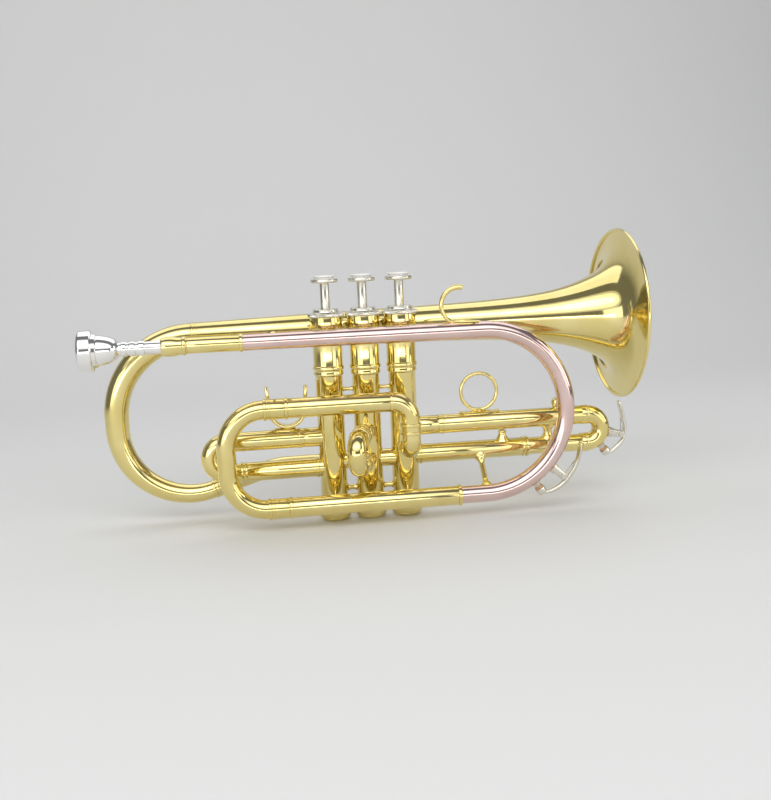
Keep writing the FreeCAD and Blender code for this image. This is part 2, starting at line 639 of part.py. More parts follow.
def reversed_slide_tubes(slide):
    """The fixed tubes of a slide whose upper leg slides over an inner tube and whose lower leg slides in a sleeve."""
    name = f"{slide}_slide_tubes"
    high, low = f"{slide}_high", f"{slide}_low"
    axis = rod(name + "_axis", "casing_r", "100", ORIGIN, LEVEL)
    upper = without(name + "_upper", joined(name + "_upper_outs", [
        rod(name + "_knuckle", "sleeve_r", f"{slide}_knuckle", ("0", "0", high)),
        rod(name + "_upper_tube", "inner_r", f"{slide}_inner", ("0", "0", high))]),
        [rod(name + "_upper_bore", "bore_r", f"{slide}_inner", ("0", "0", high)), axis])
    axis = rod(name + "_axis_low", "casing_r", "100", ORIGIN, LEVEL)
    lower = without(name + "_lower", joined(name + "_lower_outs", [
        rod(name + "_lower_tube", "sleeve_r", f"{slide}_sleeve", ("0", "0", low)),
        rod(name + "_end_ring", "ring_r - 0.2", "ring_long * 2", (f"{slide}_sleeve - ring_long * 2", "0", low)),
        rod(name + "_root_ring", "ring_r", "ring_long", ("casing_r", "0", low))]),
        [rod(name + "_lower_bore", "sleeve_bore", f"{slide}_sleeve", ("0", "0", low)), axis])
    return kept(on_valve(group(name, [upper, lower]), slide), name)


def reversed_slide_crook(slide):
    name = f"{slide}_slide_crook"
    high, low = f"{slide}_high", f"{slide}_low"
    start = f"{slide}_knuckle + seat_gap"
    outs = [
        rod(name + "_over", "sleeve_r", f"{slide}_bow - ({start})", (start, "0", high)),
        rod(name + "_over_ring", "ring_r", "ring_long", (f"{start} + 2", "0", high)),
        rod(name + "_leg", "inner_r", f"{slide}_bow - {slide}_leg", (f"{slide}_leg", "0", low)),
        rod(name + "_ferrule_high", "sleeve_r + 0.35", "5", (f"{slide}_bow - 5", "0", high)),
        rod(name + "_ferrule_low", "sleeve_r + 0.35", "5", (f"{slide}_bow - 5", "0", low)),
        half_bow(name + "_bow", slide, "bow_r")]
    bores = [
        rod(name + "_over_bore", "sleeve_bore", f"{slide}_bow - ({start})", (start, "0", high)),
        rod(name + "_leg_bore", "bore_r", f"{slide}_bow - {slide}_leg", (f"{slide}_leg", "0", low)),
        half_bow(name + "_bow_bore", slide, "bore_r")]
    if slide == "third":
        bores.append(drain_cutter("third"))
    return kept(on_valve(without(name, joined(name + "_outs", outs), bores), slide), name)


def second_slide_tubes():
    name = "second_slide_tubes"
    tubes = []
    for side in ("high", "low"):
        at = ("0", "0", f"second_{side}")
        outs = [rod(f"{name}_{side}_tube", "sleeve_r", "second_sleeve", at),
                rod(f"{name}_{side}_ring", "ring_r - 0.2", "ring_long",
                    ("second_sleeve - ring_long", "0", f"second_{side}"))]
        tubes.append(without(f"{name}_{side}", joined(f"{name}_{side}_outs", outs),
                             [rod(f"{name}_{side}_bore", "sleeve_bore", "second_sleeve", at),
                              rod(f"{name}_{side}_axis", "casing_r", "100", ORIGIN, LEVEL)]))
    return kept(on_valve(group(name, tubes), "second"), name)


def second_slide_crook():
    name = "second_slide_crook"
    start = "second_sleeve + seat_gap"
    outs = [half_bow(name + "_bow", "second", "bow_r")]
    bores = [half_bow(name + "_bow_bore", "second", "bore_r")]
    for side in ("high", "low"):
        leg = ("second_leg", "0", f"second_{side}")
        outs.append(rod(f"{name}_{side}_leg", "inner_r", "second_bow - second_leg", leg))
        outs.append(rod(f"{name}_{side}_ferrule", "sleeve_r", f"second_bow - ({start}) - 2",
                        (start, "0", f"second_{side}")))
        bores.append(rod(f"{name}_{side}_bore", "bore_r", "second_bow - second_leg", leg))
    return kept(on_valve(without(name, joined(name + "_outs", outs), bores), "second"), name)


def finger_ring():
    """A closed ring on a long foot, on the third slide's upper tube."""
    name = "finger_ring"
    wire = bend(name + "_wire", "ring_mean_r", "ring_wire", 0, "360",
                ("ring_x", "0", "third_high + sleeve_r + pad_thick + ring_mean_r + ring_wire - 0.5"))
    base = foot(name + "_foot", "sleeve_r", "29", 74, ("ring_x - 14.5", "0", "third_high"))
    whole = joined(name + "_whole", [wire, base])
    tube = rod(name + "_tube", "sleeve_r", "40", ("ring_x - 20", "0", "third_high"))
    return kept(on_valve(without(name, whole, [tube]), "third"), name)


def third_slide_stay():
    """The upright stay between the crook's legs, and the round knob on top of the upper one."""
    name = "third_slide_stay"
    column = rod(name + "_column", "strut_r + 0.6", "third_high - third_low", ("stay_x", "0", "third_low"), LEVEL)
    feet = [taper(name + "_foot_low", "strut_foot_r + 1", "strut_r + 0.6", "strut_foot_long + inner_r - 1",
                  ("stay_x", "0", "third_low"), LEVEL),
            taper(name + "_foot_high", "strut_r + 0.6", "strut_foot_r + 1", "strut_foot_long + sleeve_r - 1",
                  ("stay_x", "0", "third_high - sleeve_r - strut_foot_long + 1"), LEVEL)]
    stay = without(name + "_stay", joined(name + "_stay_whole", [column] + feet), [
        rod(name + "_low_tube", "inner_r", "30", ("stay_x - 15", "0", "third_low")),
        rod(name + "_high_tube", "sleeve_r", "30", ("stay_x - 15", "0", "third_high"))])
    ball = doc.addObject("Part::Sphere", name + "_ball")
    bind(ball, Radius="knob_r")
    place(ball, ("knob_x", "0", "third_high + sleeve_r + knob_r - 0.6"))
    neck = rod(name + "_neck", "knob_r - 1.2", "sleeve_r + knob_r", ("knob_x", "0", "third_high"), LEVEL)
    knob = without(name + "_knob", joined(name + "_knob_whole", [ball, neck]),
                   [rod(name + "_knob_tube", "sleeve_r", "30", ("knob_x - 15", "0", "third_high"))])
    return kept(on_valve(group(name, [stay, knob]), "third"), name)


def thumb_saddle():
    """An open U of strip on a foot, on the first slide's upper tube."""
    name = "thumb_saddle"
    inside, thick, wide = value("saddle_r"), value("saddle_thick"), value("saddle_wide")
    outside = inside + thick
    prong = value("saddle_high")
    lean = math.tan(math.radians(5)) * prong
    bottom = value("first_high + sleeve_r + pad_thick")
    centre = Vector(value("saddle_x"), 0, bottom + outside)

    def point(x, z):
        return centre + Vector(x, 0, z)

    tip = thick / 2
    edges = [
        Part.Arc(point(-outside, 0), point(0, -outside), point(outside, 0)).toShape(),
        Part.LineSegment(point(outside, 0), point(outside + lean, prong)).toShape(),
        Part.Arc(point(outside + lean, prong), point(inside + lean + tip, prong + tip),
                 point(inside + lean, prong)).toShape(),
        Part.LineSegment(point(inside + lean, prong), point(inside, 0)).toShape(),
        Part.Arc(point(inside, 0), point(0, -inside), point(-inside, 0)).toShape(),
        Part.LineSegment(point(-inside, 0), point(-inside - lean, prong)).toShape(),
        Part.Arc(point(-inside - lean, prong), point(-inside - lean - tip, prong + tip),
                 point(-outside - lean, prong)).toShape(),
        Part.LineSegment(point(-outside - lean, prong), point(-outside, 0)).toShape()]
    strip = Part.Face(Part.Wire(edges)).extrude(Vector(0, wide, 0))
    strip.translate(Vector(0, -wide / 2, 0))
    strip = strip.makeFillet(thick * 0.3, [e for e in strip.Edges if abs(e.BoundBox.YLength) < 1e-6])
    whole = joined(name + "_whole", [
        feature(name + "_strip", strip),
        foot(name + "_foot", "sleeve_r", "saddle_foot", 74, ("saddle_x + 10.5 - saddle_foot", "0", "first_high")),
        rod(name + "_stem", "strut_r + 1.2", "pad_thick + 1", ("saddle_x", "0", "first_high + sleeve_r"), LEVEL)])
    tube = rod(name + "_tube", "sleeve_r", "30", ("saddle_x - 15", "0", "first_high"))
    return kept(on_valve(without(name, whole, [tube]), "first"), name)


# ---------------------------------------------------------------- leadpipe and main tuning slide

def in_lead_plane(x, z):
    return (x, "lead_y", z)


def mouthpiece():
    name = "mouthpiece"
    beads = []
    for start, end in ((27.0, 30.4), (32.4, 36.0), (38.0, 42.2)):
        middle = (start + end) / 2
        beads += [(str(start), "shank_r + 0.1", str(middle), "shank_r + 0.75"), (str(end), "shank_r + 0.1")]
    outline = [
        ("1.1", "cup_r", "0.05", "cup_r + 1.9"), ("0.6", "rim_out_r - 1.3", "1.0", "rim_out_r - 0.5"),
        ("1.9", "rim_out_r"), ("8.3", "rim_out_r", "8.6", "rim_out_r - 0.12"), ("8.7", "rim_out_r - 0.5"),
        ("8.7", "rim_out_r - 2.1"), ("11.8", "rim_out_r - 2.5"), ("12.2", "rim_out_r - 3.6"),
        ("15.5", "rim_out_r - 4.1", "20.5", "rim_out_r - 5.4"), ("24.6", "shank_r + 1.1", "25.4", "shank_r + 0.3"),
    ] + beads + [
        ("44", "shank_r"), ("shank_x", "shank_r"), ("mouthpiece_long", "shank_tip_r"),
        ("mouthpiece_long", "shank_tip_r - 0.6"), ("cup_deep + 5", "throat_bore"),
        ("cup_deep", "throat_bore", "cup_deep * 0.72", "cup_r * 0.72")]
    body = turned(name, outline, in_lead_plane("receiver_x - shank_x", "lead_z"))
    return kept(body, name)


def mouthpiece_receiver():
    name = "mouthpiece_receiver"
    taper_end = "shank_r + shank_gap - (shank_r - shank_tip_r) * receiver_long / (mouthpiece_long - shank_x)"
    return kept(turned(name, [
        ("0", "shank_r + shank_gap"), ("0", "front_r"), ("0.8", "front_r + 0.7", "5.5", "front_r + 1.35"),
        ("12", "front_r + 0.5"), ("receiver_long - 2.9", "front_r + 0.35"),
        ("receiver_long - 2.9", "front_r + 0.9", "receiver_long - 1.6", "front_r + 1.1"),
        ("receiver_long - 0.3", "front_r + 0.9"), ("receiver_long", "front_r + 0.1"),
        ("receiver_long", taper_end)], in_lead_plane("receiver_x", "lead_z")), name)


def leadpipe_front():
    name = "leadpipe_front"
    start = "receiver_x + receiver_long"
    length = f"rose_x - ({start})"
    tube = rod(name + "_out", "front_r", length, in_lead_plane(start, "lead_z"))
    bore = rod(name + "_in", "front_bore", length, in_lead_plane(start, "lead_z"))
    return kept(without(name, tube, [bore]), name)


def rose_stretch(name, front, radius):
    """The rose-brass pipe as a solid rod: a slight taper, the half-round bend and the lower straight."""
    middle = "(lead_z + low_z) / 2"
    return joined(name, [
        taper(name + "_taper", front, radius, "bend_x - rose_x", in_lead_plane("rose_x", "lead_z")),
        bend(name + "_bend", "(lead_z - low_z) / 2", radius, -90, "180", in_lead_plane("bend_x", middle)),
        rod(name + "_low", radius, "bend_x - lower_joint_x", in_lead_plane("lower_joint_x", "low_z"))])


def leadpipe():
    name = "leadpipe"
    return kept(without(name, rose_stretch(name + "_out", "front_r", "rose_r"),
                        [rose_stretch(name + "_in", "front_bore", "rose_bore"), drain_cutter("lead")]), name)


def tuning_sleeve(name, start, end, height):
    at = in_lead_plane(start, height)
    outs = [rod(name + "_out", "sleeve_r", f"{end} - {start}", at),
            rod(name + "_ring", "ring_r - 0.1", "ring_long", at)]
    return kept(without(name, joined(name + "_outs", outs),
                        [rod(name + "_in", "sleeve_bore", f"{end} - {start}", at)]), name)


def tuning_elbow():
    """From the upper tuning tube, down beside the third valve and into it."""
    name = "tuning_elbow"
    start = Vector(value("elbow_x"), value("lead_y"), value("high_z"))
    corner = Vector(value("drop_x"), start.y, start.z)
    knee = Vector(corner.x, start.y, value("entry_z"))
    end = Vector(corner.x, 0, knee.z)
    route = rounded_route([start, corner, knee, end], [value("elbow_bend"), value("entry_bend")])
    casing = upright(value("valve_pitch"), 0, value("casing_r"), value("collar_top"))
    shape = swept(route, value("bow_r")).cut(swept(route, value("bore_r"))).cut(casing)
    return kept(feature(name, solid_of(shape)), name)


def tube_ferrules():
    """The raised rings that join the fixed tubes end to end."""
    rings = []
    spots = (("rose", "rose_x - 1.2", "lead_z", "front_r + 0.8", "front_r + 0.01", "2.4"),
             ("lower", "lower_joint_x", "low_z", "ring_r", "rose_r", "2.6"),
             ("elbow", "elbow_x", "high_z", "ring_r", "bow_r", "ring_long"))
    for spot, x, z, outer, inner, length in spots:
        rings.append(ring(f"ferrule_{spot}", outer, inner, length, in_lead_plane(x, z)))
    for spot, height in (("drop_high", "high_z - elbow_bend - 4.6"), ("drop_low", "high_z - elbow_bend - 10.2")):
        rings.append(ring(f"ferrule_{spot}", "ring_r", "bow_r", "ring_long", in_lead_plane("drop_x", height), LEVEL))
    return kept(group("tube_ferrules", rings), "tube_ferrules")


def tuning_loop(name, radius):
    """The tuning crook's bent part as a solid rod: two quarter bends and the upright between them."""
    far = "tuning_bow_x - tuning_bend"
    return [
        bend(name + "_high", "tuning_bend", radius, 90, "90",
             in_lead_plane("tuning_bow_x", "high_z - tuning_bend")),
        bend(name + "_low", "tuning_bend", radius, 180, "90",
             in_lead_plane("tuning_bow_x", "low_z + tuning_bend")),
        rod(name + "_back", radius, "high_z - low_z - 2 * tuning_bend",
            in_lead_plane(far, "low_z + tuning_bend"), LEVEL)]


def tuning_crook():
    name = "tuning_crook"
    outs = tuning_loop(name + "_out", "bow_r")
    bores = tuning_loop(name + "_in", "bore_r")
    for side in ("high", "low"):
        at = in_lead_plane("tuning_bow_x", f"{side}_z")
        outs.append(rod(f"{name}_{side}_leg", "inner_r", "tuning_leg_x - tuning_bow_x", at))
        bores.append(rod(f"{name}_{side}_bore", "bore_r", "tuning_leg_x - tuning_bow_x", at))
    return kept(without(name, joined(name + "_outs", outs), bores), name)


def tuning_crook_ferrules():
    sleeves = []
    for side in ("high", "low"):
        name = f"crook_ferrule_{side}"
        at = in_lead_plane("tuning_bow_x", f"{side}_z")
        outs = [rod(name + "_body", "sleeve_r + 0.15", "tuning_x - seat_gap - tuning_bow_x", at),
                rod(name + "_bead", "ring_r - 0.1", "ring_long", in_lead_plane("tuning_bow_x + 2", f"{side}_z"))]
        sleeves.append(without(name, joined(name + "_outs", outs),
                               [rod(name + "_in", "inner_r", "tuning_x - tuning_bow_x", at)]))
    return kept(group("tuning_crook_ferrules", sleeves), "tuning_crook_ferrules")


# ---------------------------------------------------------------- bell, bow and tail

BELL_STATIONS = (("bell_x", "bell_tail_r"), ("0", "bell_valve_r"), ("bell_front_x", "bell_front_r"),
                 ("throat_x", "throat_r"), ("swell_x", "swell_r"), ("flare_x", "flare_r"),
                 ("mouth_x", "mouth_r"), ("lip_x", "lip_r"), ("rim_x", "rim_r"))


def bell_outline(inset):
    """A smooth curve through the bell's stations, or one set inwards from it by a constant distance."""
    curve = Part.BSplineCurve()
    curve.interpolate([Vector(value(x), value(r), 0) for x, r in BELL_STATIONS])
    if not inset:
        return curve.toShape()
    points = []
    steps = 40
    for i in range(steps + 1):
        at = curve.FirstParameter + (curve.LastParameter - curve.FirstParameter) * i / steps
        along = curve.tangent(at)[0]
        points.append(curve.value(at) + Vector(along.y, -along.x, 0) * inset)
    inner = Part.BSplineCurve()
    inner.interpolate(points)
    return inner.toShape()


def bell_shape():
    outer, inner = bell_outline(0), bell_outline(value("bell_wall"))
    ends = [edge.valueAt(at) for edge in (outer, inner) for at in (edge.FirstParameter, edge.LastParameter)]
    tail = Part.LineSegment(ends[0], ends[2]).toShape()
    lip = Part.LineSegment(ends[1], ends[3]).toShape()
    face = Part.Face(Part.Wire(Part.__sortEdges__([outer, lip, inner, tail])))
    solid = face.revolve(Vector(0, 0, 0), Vector(1, 0, 0), 360)
    solid.translate(Vector(0, value("bell_y"), value("bell_z")))
    return solid


def bell_space():
    """The bell filled up to its outer surface, to trim what is soldered against it."""
    outer = bell_outline(0)
    start, end = outer.valueAt(outer.FirstParameter), outer.valueAt(outer.LastParameter)
    sides = [outer, Part.LineSegment(end, Vector(end.x, 0, 0)).toShape(),
             Part.LineSegment(Vector(end.x, 0, 0), Vector(start.x, 0, 0)).toShape(),
             Part.LineSegment(Vector(start.x, 0, 0), start).toShape()]
    solid = Part.Face(Part.Wire(sides)).revolve(Vector(0, 0, 0), Vector(1, 0, 0), 360)
    solid.translate(Vector(0, value("bell_y"), value("bell_z")))
    return solid


def bell():
    return kept(feature("bell", bell_shape()), "bell")


def bell_rim_wire():
    centre = Vector(value("rim_x") - 0.3, value("bell_y"), value("bell_z"))
    bead = Part.makeTorus(value("rim_r") + 0.1, value("rim_wire"), centre, Vector(1, 0, 0))
    return kept(feature("bell_rim_wire", solid_of(bead.cut(bell_shape()))), "bell_rim_wire")


def bow_frames():
    """Sections of the bell bow: centre, direction and share of the way round, from the bell down to the tail."""
    top, low, lean = value("bow_top_bend"), value("bow_low_bend"), math.radians(value("bow_lean"))
    y, x, z = value("bell_y"), value("bell_x"), value("bell_z")
    straight = value("bow_side")
    base = z - top - straight - low
    spans = (top * math.pi / 2, straight, low * (math.pi / 2 + lean))
    total = sum(spans)
    frames = []
    for i in range(9):
        t = math.pi / 2 * i / 8
        centre = Vector(x - top * math.sin(t), y, z - top + top * math.cos(t))
        frames.append((centre, Vector(-math.cos(t), 0, -math.sin(t)), top * t / total))
    low_x = x - top + low
    for i in range(11):
        t = (math.pi / 2 + lean) * i / 10
        centre = Vector(low_x - low * math.cos(t), y, base + low - low * math.sin(t))
        frames.append((centre, Vector(math.sin(t), 0, -math.cos(t)), (spans[0] + spans[1] + low * t) / total))
    return frames


def bow_solid(inset):
    start, end = value("bell_tail_r"), value("tail_r")
    circles = []
    for centre, heading, share in bow_frames():
        radius = start - (start - end) * share * share - inset
        circles.append(Part.Wire(Part.makeCircle(radius, centre, heading)))
    return Part.makeLoft(circles, True, False)


def bell_bow():
    shape = bow_solid(0).cut(bow_solid(value("bell_wall")))
    return kept(feature("bell_bow", solid_of(shape)), "bell_bow")


def tail_route():
    centre, heading, _ = bow_frames()[-1]
    rise = value("tail_z") - centre.z
    level = centre + heading * (rise / heading.z)
    turn = Vector(value("-valve_pitch"), level.y, level.z)
    end = Vector(turn.x, 0, turn.z)
    return rounded_route([centre, level, turn, end], [value("tail_bend"), value("tail_turn")])


def bell_tail():
    route = tail_route()
    casing = upright(value("-valve_pitch"), 0, value("casing_r"), value("collar_top"))
    shape = swept(route, value("tail_r")).cut(swept(route, value("tail_r - tube_wall"))).cut(casing)
    return kept(feature("bell_tail", solid_of(shape)), "bell_tail")


def bow_ferrules():
    """A ring where the bow meets the bell, and one where it meets the tail."""
    length = value("ring_long") * 2
    rings = []
    shift = Vector(value("bell_x"), value("bell_y"), value("bell_z"))
    around = Part.makeCylinder(value("bell_tail_r") + 0.7, length, shift, Vector(1, 0, 0))
    rings.append(around.cut(bell_space()))
    centre, heading, _ = bow_frames()[-1]
    around = Part.makeCylinder(value("tail_r") + 0.7, length, centre, heading)
    rings.append(around.cut(swept(tail_route(), value("tail_r"))))
    return kept(feature("bow_ferrules", Part.Compound([solid_of(r) for r in rings])), "bow_ferrules")


# ---------------------------------------------------------------- braces and hook

def strut(start, end, rod_r, foot_r, foot_long):
    """A rod between two tubes' axes with a flared foot at each end; the caller gives each foot's seat."""
    (first, first_r), (last, last_r) = start, end
    along = (last - first).normalize()
    shape = Part.makeCylinder(rod_r, (last - first).Length, first, along)
    for centre, seat, way in ((first, first_r, along), (last, last_r, -along)):
        base = centre + way * (seat - 1.2)
        shape = shape.fuse(Part.makeCone(foot_r, rod_r, foot_long + 1.2, base, way))
    return shape


def lead_axis(x):
    return Vector(x, value("lead_y"), value("lead_z"))


def lead_rods():
    """The leadpipe filled up to its outer surface."""
    x, front, bend_r = value("rose_x"), value("front_r"), value("rose_r")
    top = value("lead_z")
    pipe = Part.makeCone(front, bend_r, value("bend_x") - x, Vector(x, value("lead_y"), top), Vector(1, 0, 0))
    low = Part.makeCylinder(bend_r, 60, Vector(value("lower_joint_x"), value("lead_y"), value("low_z")),
                            Vector(1, 0, 0))
    ring_centre = Vector(value("bend_x"), value("lead_y"), value("(lead_z + low_z) / 2"))
    turn = Part.makeTorus(value("(lead_z - low_z) / 2"), bend_r, ring_centre, Vector(0, 1, 0))
    turn = turn.common(Part.makeBox(100, 40, 200, Vector(ring_centre.x, ring_centre.y - 20, -10)))
    low = low.common(Part.makeBox(ring_centre.x - value("lower_joint_x"), 40, 60,
                                  Vector(value("lower_joint_x"), ring_centre.y - 20, 0)))
    return pipe.fuse([turn, low])


def lower_sleeve_rod():
    length = value("lower_joint_x - tuning_x")
    return Part.makeCylinder(value("sleeve_r"), length,
                             Vector(value("tuning_x"), value("lead_y"), value("low_z")), Vector(1, 0, 0))


def braces():
    """The struts between leadpipe, bell, valves and the third slide's outer tube."""
    rod_r, foot_r, foot_long = value("strut_r"), value("strut_foot_r"), value("strut_foot_long")
    lead, bell_body = lead_rods(), bell_space()
    pieces = []
    for x, bell_r in ((-62.0, 10.6), (67.0, 13.6)):
        bell_axis = Vector(x, value("bell_y"), value("lead_z"))
        shape = strut((lead_axis(x), value("front_r")), (bell_axis, bell_r), rod_r, foot_r, foot_long)
        pieces.append(shape.cut(lead).cut(bell_body))
    pitch = value("valve_pitch")
    for x in (-pitch, pitch):
        casing = upright(x, 0, value("chamber_r"), value("collar_low") - 1)
        shape = strut((lead_axis(x), value("front_r")), (Vector(x, 0, value("lead_z")), value("chamber_r")),
                      rod_r, foot_r - 1, 2.5)
        pieces.append(shape.cut(lead).cut(casing))
        shape = Part.makeCylinder(foot_r - 0.6, value("bell_y"), Vector(x, 0, value("lead_z") - 2),
                                  Vector(0, 1, 0))
        pieces.append(shape.cut(bell_body).cut(casing))
        casing = upright(x, 0, value("casing_r"), 60)
        axis = Vector(x, value("lead_y"), value("low_z"))
        shape = strut((axis, value("sleeve_r")), (Vector(x, 0, axis.z), value("casing_r")), rod_r, foot_r - 1, 2.5)
        pieces.append(shape.cut(lower_sleeve_rod()).cut(casing))
    x = 79.0
    third = Vector(x, 0, value("third_low"))
    sleeve = Part.makeCylinder(value("sleeve_r"), 40, third - Vector(20, 0, 0), Vector(1, 0, 0))
    shape = strut((third, value("sleeve_r")), (Vector(x, value("lead_y"), value("low_z")), value("rose_r")),
                  rod_r, foot_r, foot_long)
    pieces.append(shape.cut(sleeve).cut(lead))
    post = Vector(value("valve_pitch + post_x"), 0, value("third_low"))
    shape = Part.makeCone(5.6, 2.2, 6.0, post + Vector(0, 0, value("sleeve_r") - 1.5))
    shape = shape.fuse(Part.makeCylinder(2.2, value("third_high - third_low - ring_r - seat_gap"), post))
    sleeve = Part.makeCylinder(value("sleeve_r"), 40, post - Vector(20, 0, 0), Vector(1, 0, 0))
    pieces.append(shape.cut(sleeve))
    return kept(feature("braces", Part.Compound([solid_of(p) for p in pieces])), "braces")


def finger_hook():
    """The little finger's hook: three quarters of a ring of round rod on a foot, on top of the leadpipe."""
    name = "finger_hook"
    centre = in_lead_plane("hook_x", "hook_z")
    curl = bend(name + "_curl", "hook_bend", "hook_wire", 78, "186", centre)
    tip = doc.addObject("Part::Sphere", name + "_tip")
    bind(tip, Radius="hook_wire + 0.35")
    place(tip, in_lead_plane("hook_x + hook_bend * cos(78)", "hook_z + hook_bend * sin(78)"))
    base = foot(name + "_foot", "rose_r", "19", 80, in_lead_plane("hook_x - 4.6", "lead_z"))
    tube = rod(name + "_tube", "rose_r", "30", in_lead_plane("hook_x - 8", "lead_z"))
    return kept(without(name, joined(name + "_whole", [curl, tip, base]), [tube]), name)


# ---------------------------------------------------------------- water keys

# Each water key lies round the outside of a bend. Angles are in degrees from +X about the bend's centre, and the
# pivot and the lever's back are given by their distance outside the tube. "path" runs from cork to finger tip.
KEYS = {
    "lead": {"centre": ("bend_x", "lead_y", "(lead_z + low_z) / 2"), "bend": "(lead_z - low_z) / 2",
             "tube": "rose_r", "pivot": -42.0, "cork": -56.5, "pivot_out": 9.2,
             "path": ((-56.5, 9.4), (-53.0, 12.2), (-48.0, 14.4), (-42.0, 15.2), (-36.0, 14.8), (-30.5, 13.6),
                      (-25.5, 11.7), (-20.5, 9.4))},
    "third": {"centre": ("valve_pitch + third_bow", "0", "(third_high + third_low) / 2"),
              "bend": "(third_high - third_low) / 2", "tube": "bow_r", "pivot": -13.0, "cork": -52.0,
              "pivot_out": 8.8,
              "path": ((-52.0, 8.9), (-43.0, 10.9), (-32.0, 12.4), (-20.0, 13.2), (-9.0, 13.3), (5.0, 12.9),
                       (18.0, 12.7), (29.0, 13.2), (38.0, 14.2))},
}


def polar(key, radius, degrees, y=0.0):
    spec = KEYS[key]
    centre = Vector(*[value(c) for c in spec["centre"]])
    angle = math.radians(degrees)
    return centre + Vector(radius * math.cos(angle), y, radius * math.sin(angle))


def outwards(degrees):
    angle = math.radians(degrees)
    return Vector(math.cos(angle), 0, math.sin(angle))


def key_radii(key):
    """The tube's outer surface, its axis and the pivot, as distances from the bend's centre."""
    spec = KEYS[key]
    axis = value(spec["bend"])
    surface = axis + value(spec["tube"])
    return surface, axis, surface + spec["pivot_out"]


def drain_cutter(key):
    """The hole through the tube's wall under the nipple, in the frame of the piece it cuts."""
    spec = KEYS[key]
    _, axis, _ = key_radii(key)
    angle = spec["cork"]
    start = polar(key, axis, angle)
    if key == "third":
        start -= Vector(value("valve_pitch"), 0, 0)
    cutter = doc.addObject("Part::Cylinder", key + "_drain")
    bind(cutter, Radius="nipple_bore", Height="bow_r + 4")
    cutter.Placement = Placement(start, Rotation(Vector(0, 0, 1), outwards(angle)))
    return cutter


def lever_back(key, first=None, last=None):
    """Points along the lever's back, between two angles when they are given."""
    surface, _, _ = key_radii(key)
    return [polar(key, surface + out, angle) for angle, out in KEYS[key]["path"]
            if (first is None or angle >= first) and (last is None or angle <= last)]


def strip_under(points, thick, wide):
    """A curved strip of even thickness whose back passes through points."""
    tangents = [(b - a).normalize() for a, b in zip([points[0]] + points[:-1], points[1:] + [points[-1]])]
    inner = [p - Vector(t.z, 0, -t.x) * thick for p, t in zip(points, tangents)]
    back, front = Part.BSplineCurve(), Part.BSplineCurve()
    back.interpolate(points)
    front.interpolate(inner)
    edges = [back.toShape(), Part.LineSegment(points[-1], inner[-1]).toShape(), front.toShape(),
             Part.LineSegment(inner[0], points[0]).toShape()]
    strip = Part.Face(Part.Wire(Part.sortEdges(edges)[0])).extrude(Vector(0, wide, 0))
    strip.translate(Vector(0, -wide / 2, 0))
    return strip


def lever_out(key, degrees):
    """How far outside the tube the lever's back is at an angle."""
    path = KEYS[key]["path"]
    for (low, low_out), (high, high_out) in zip(path, path[1:]):
        if low <= degrees <= high:
            return low_out + (high_out - low_out) * (degrees - low) / (high - low)
    raise ValueError(f"{key}: no lever at {degrees}")


def tube_at(key):
    """The bent tube filled up to its outer surface."""
    spec = KEYS[key]
    centre = Vector(*[value(c) for c in spec["centre"]])
    return Part.makeTorus(value(spec["bend"]), value(spec["tube"]), centre, Vector(0, 1, 0))


def key_saddle(key):
    """Two cheeks that carry the pivot screw, and the drain nipple."""
    name = f"{key}_key_saddle"
    surface, axis, pivot = key_radii(key)
    angle = KEYS[key]["pivot"]
    away = outwards(angle)
    across = Vector(-away.z, 0, away.x)
    thick, inside = value("key_cheek"), value("key_cheek_y")
    root = polar(key, surface - 1.5, angle)
    top = polar(key, pivot, angle)
    half_low, half_top = 3.4, 2.5
    cheek_face = Part.Face(Part.makePolygon([root - across * half_low, root + across * half_low,
                                             top + across * half_top, top - across * half_top,
                                             root - across * half_low]))
    pieces = []
    for y in (inside, -inside - thick):
        cheek = cheek_face.extrude(Vector(0, thick, 0))
        cheek = cheek.fuse(Part.makeCylinder(half_top, thick, top, Vector(0, 1, 0)))
        cheek.translate(Vector(0, y, 0))
        pieces.append(cheek)
    floor = Part.makePolygon([root - across * half_low, root + across * half_low,
                              root + across * half_low + away * 2.9, root - across * half_low + away * 2.9,
                              root - across * half_low])
    base = Part.Face(floor).extrude(Vector(0, 2 * inside, 0))
    base.translate(Vector(0, -inside, 0))
    saddle = pieces[0].fuse([pieces[1], base]).cut(tube_at(key))
    hole = Part.makeCylinder(value("key_pin"), 20, top - Vector(0, 10, 0), Vector(0, 1, 0))
    saddle = saddle.cut(hole)
    drain = outwards(KEYS[key]["cork"])
    seat = polar(key, axis, KEYS[key]["cork"])
    length = surface - axis + value("nipple_high")
    nipple = Part.makeCylinder(value("nipple_r"), length, seat, drain)
    nipple = nipple.cut(Part.makeCylinder(value("nipple_bore"), length, seat, drain)).cut(tube_at(key))
    return kept(feature(name, Part.Compound([solid_of(saddle), solid_of(nipple)])), name)


def key_screw(key):
    name = f"{key}_key_screw"
    _, _, pivot = key_radii(key)
    centre = polar(key, pivot, KEYS[key]["pivot"])
    reach = value("key_cheek_y + key_cheek")
    shaft = Part.makeCylinder(value("key_pin"), 2 * reach, centre - Vector(0, reach, 0), Vector(0, 1, 0))
    head = Part.makeCylinder(value("key_pin") + 0.8, 0.9, centre - Vector(0, reach + 0.9, 0), Vector(0, 1, 0))
    slot = Part.makeBox(6, 0.5, 0.5, centre - Vector(3, reach + 0.95, 0.25))
    return kept(feature(name, shaft.fuse(head).cut(slot).removeSplitter()), name)


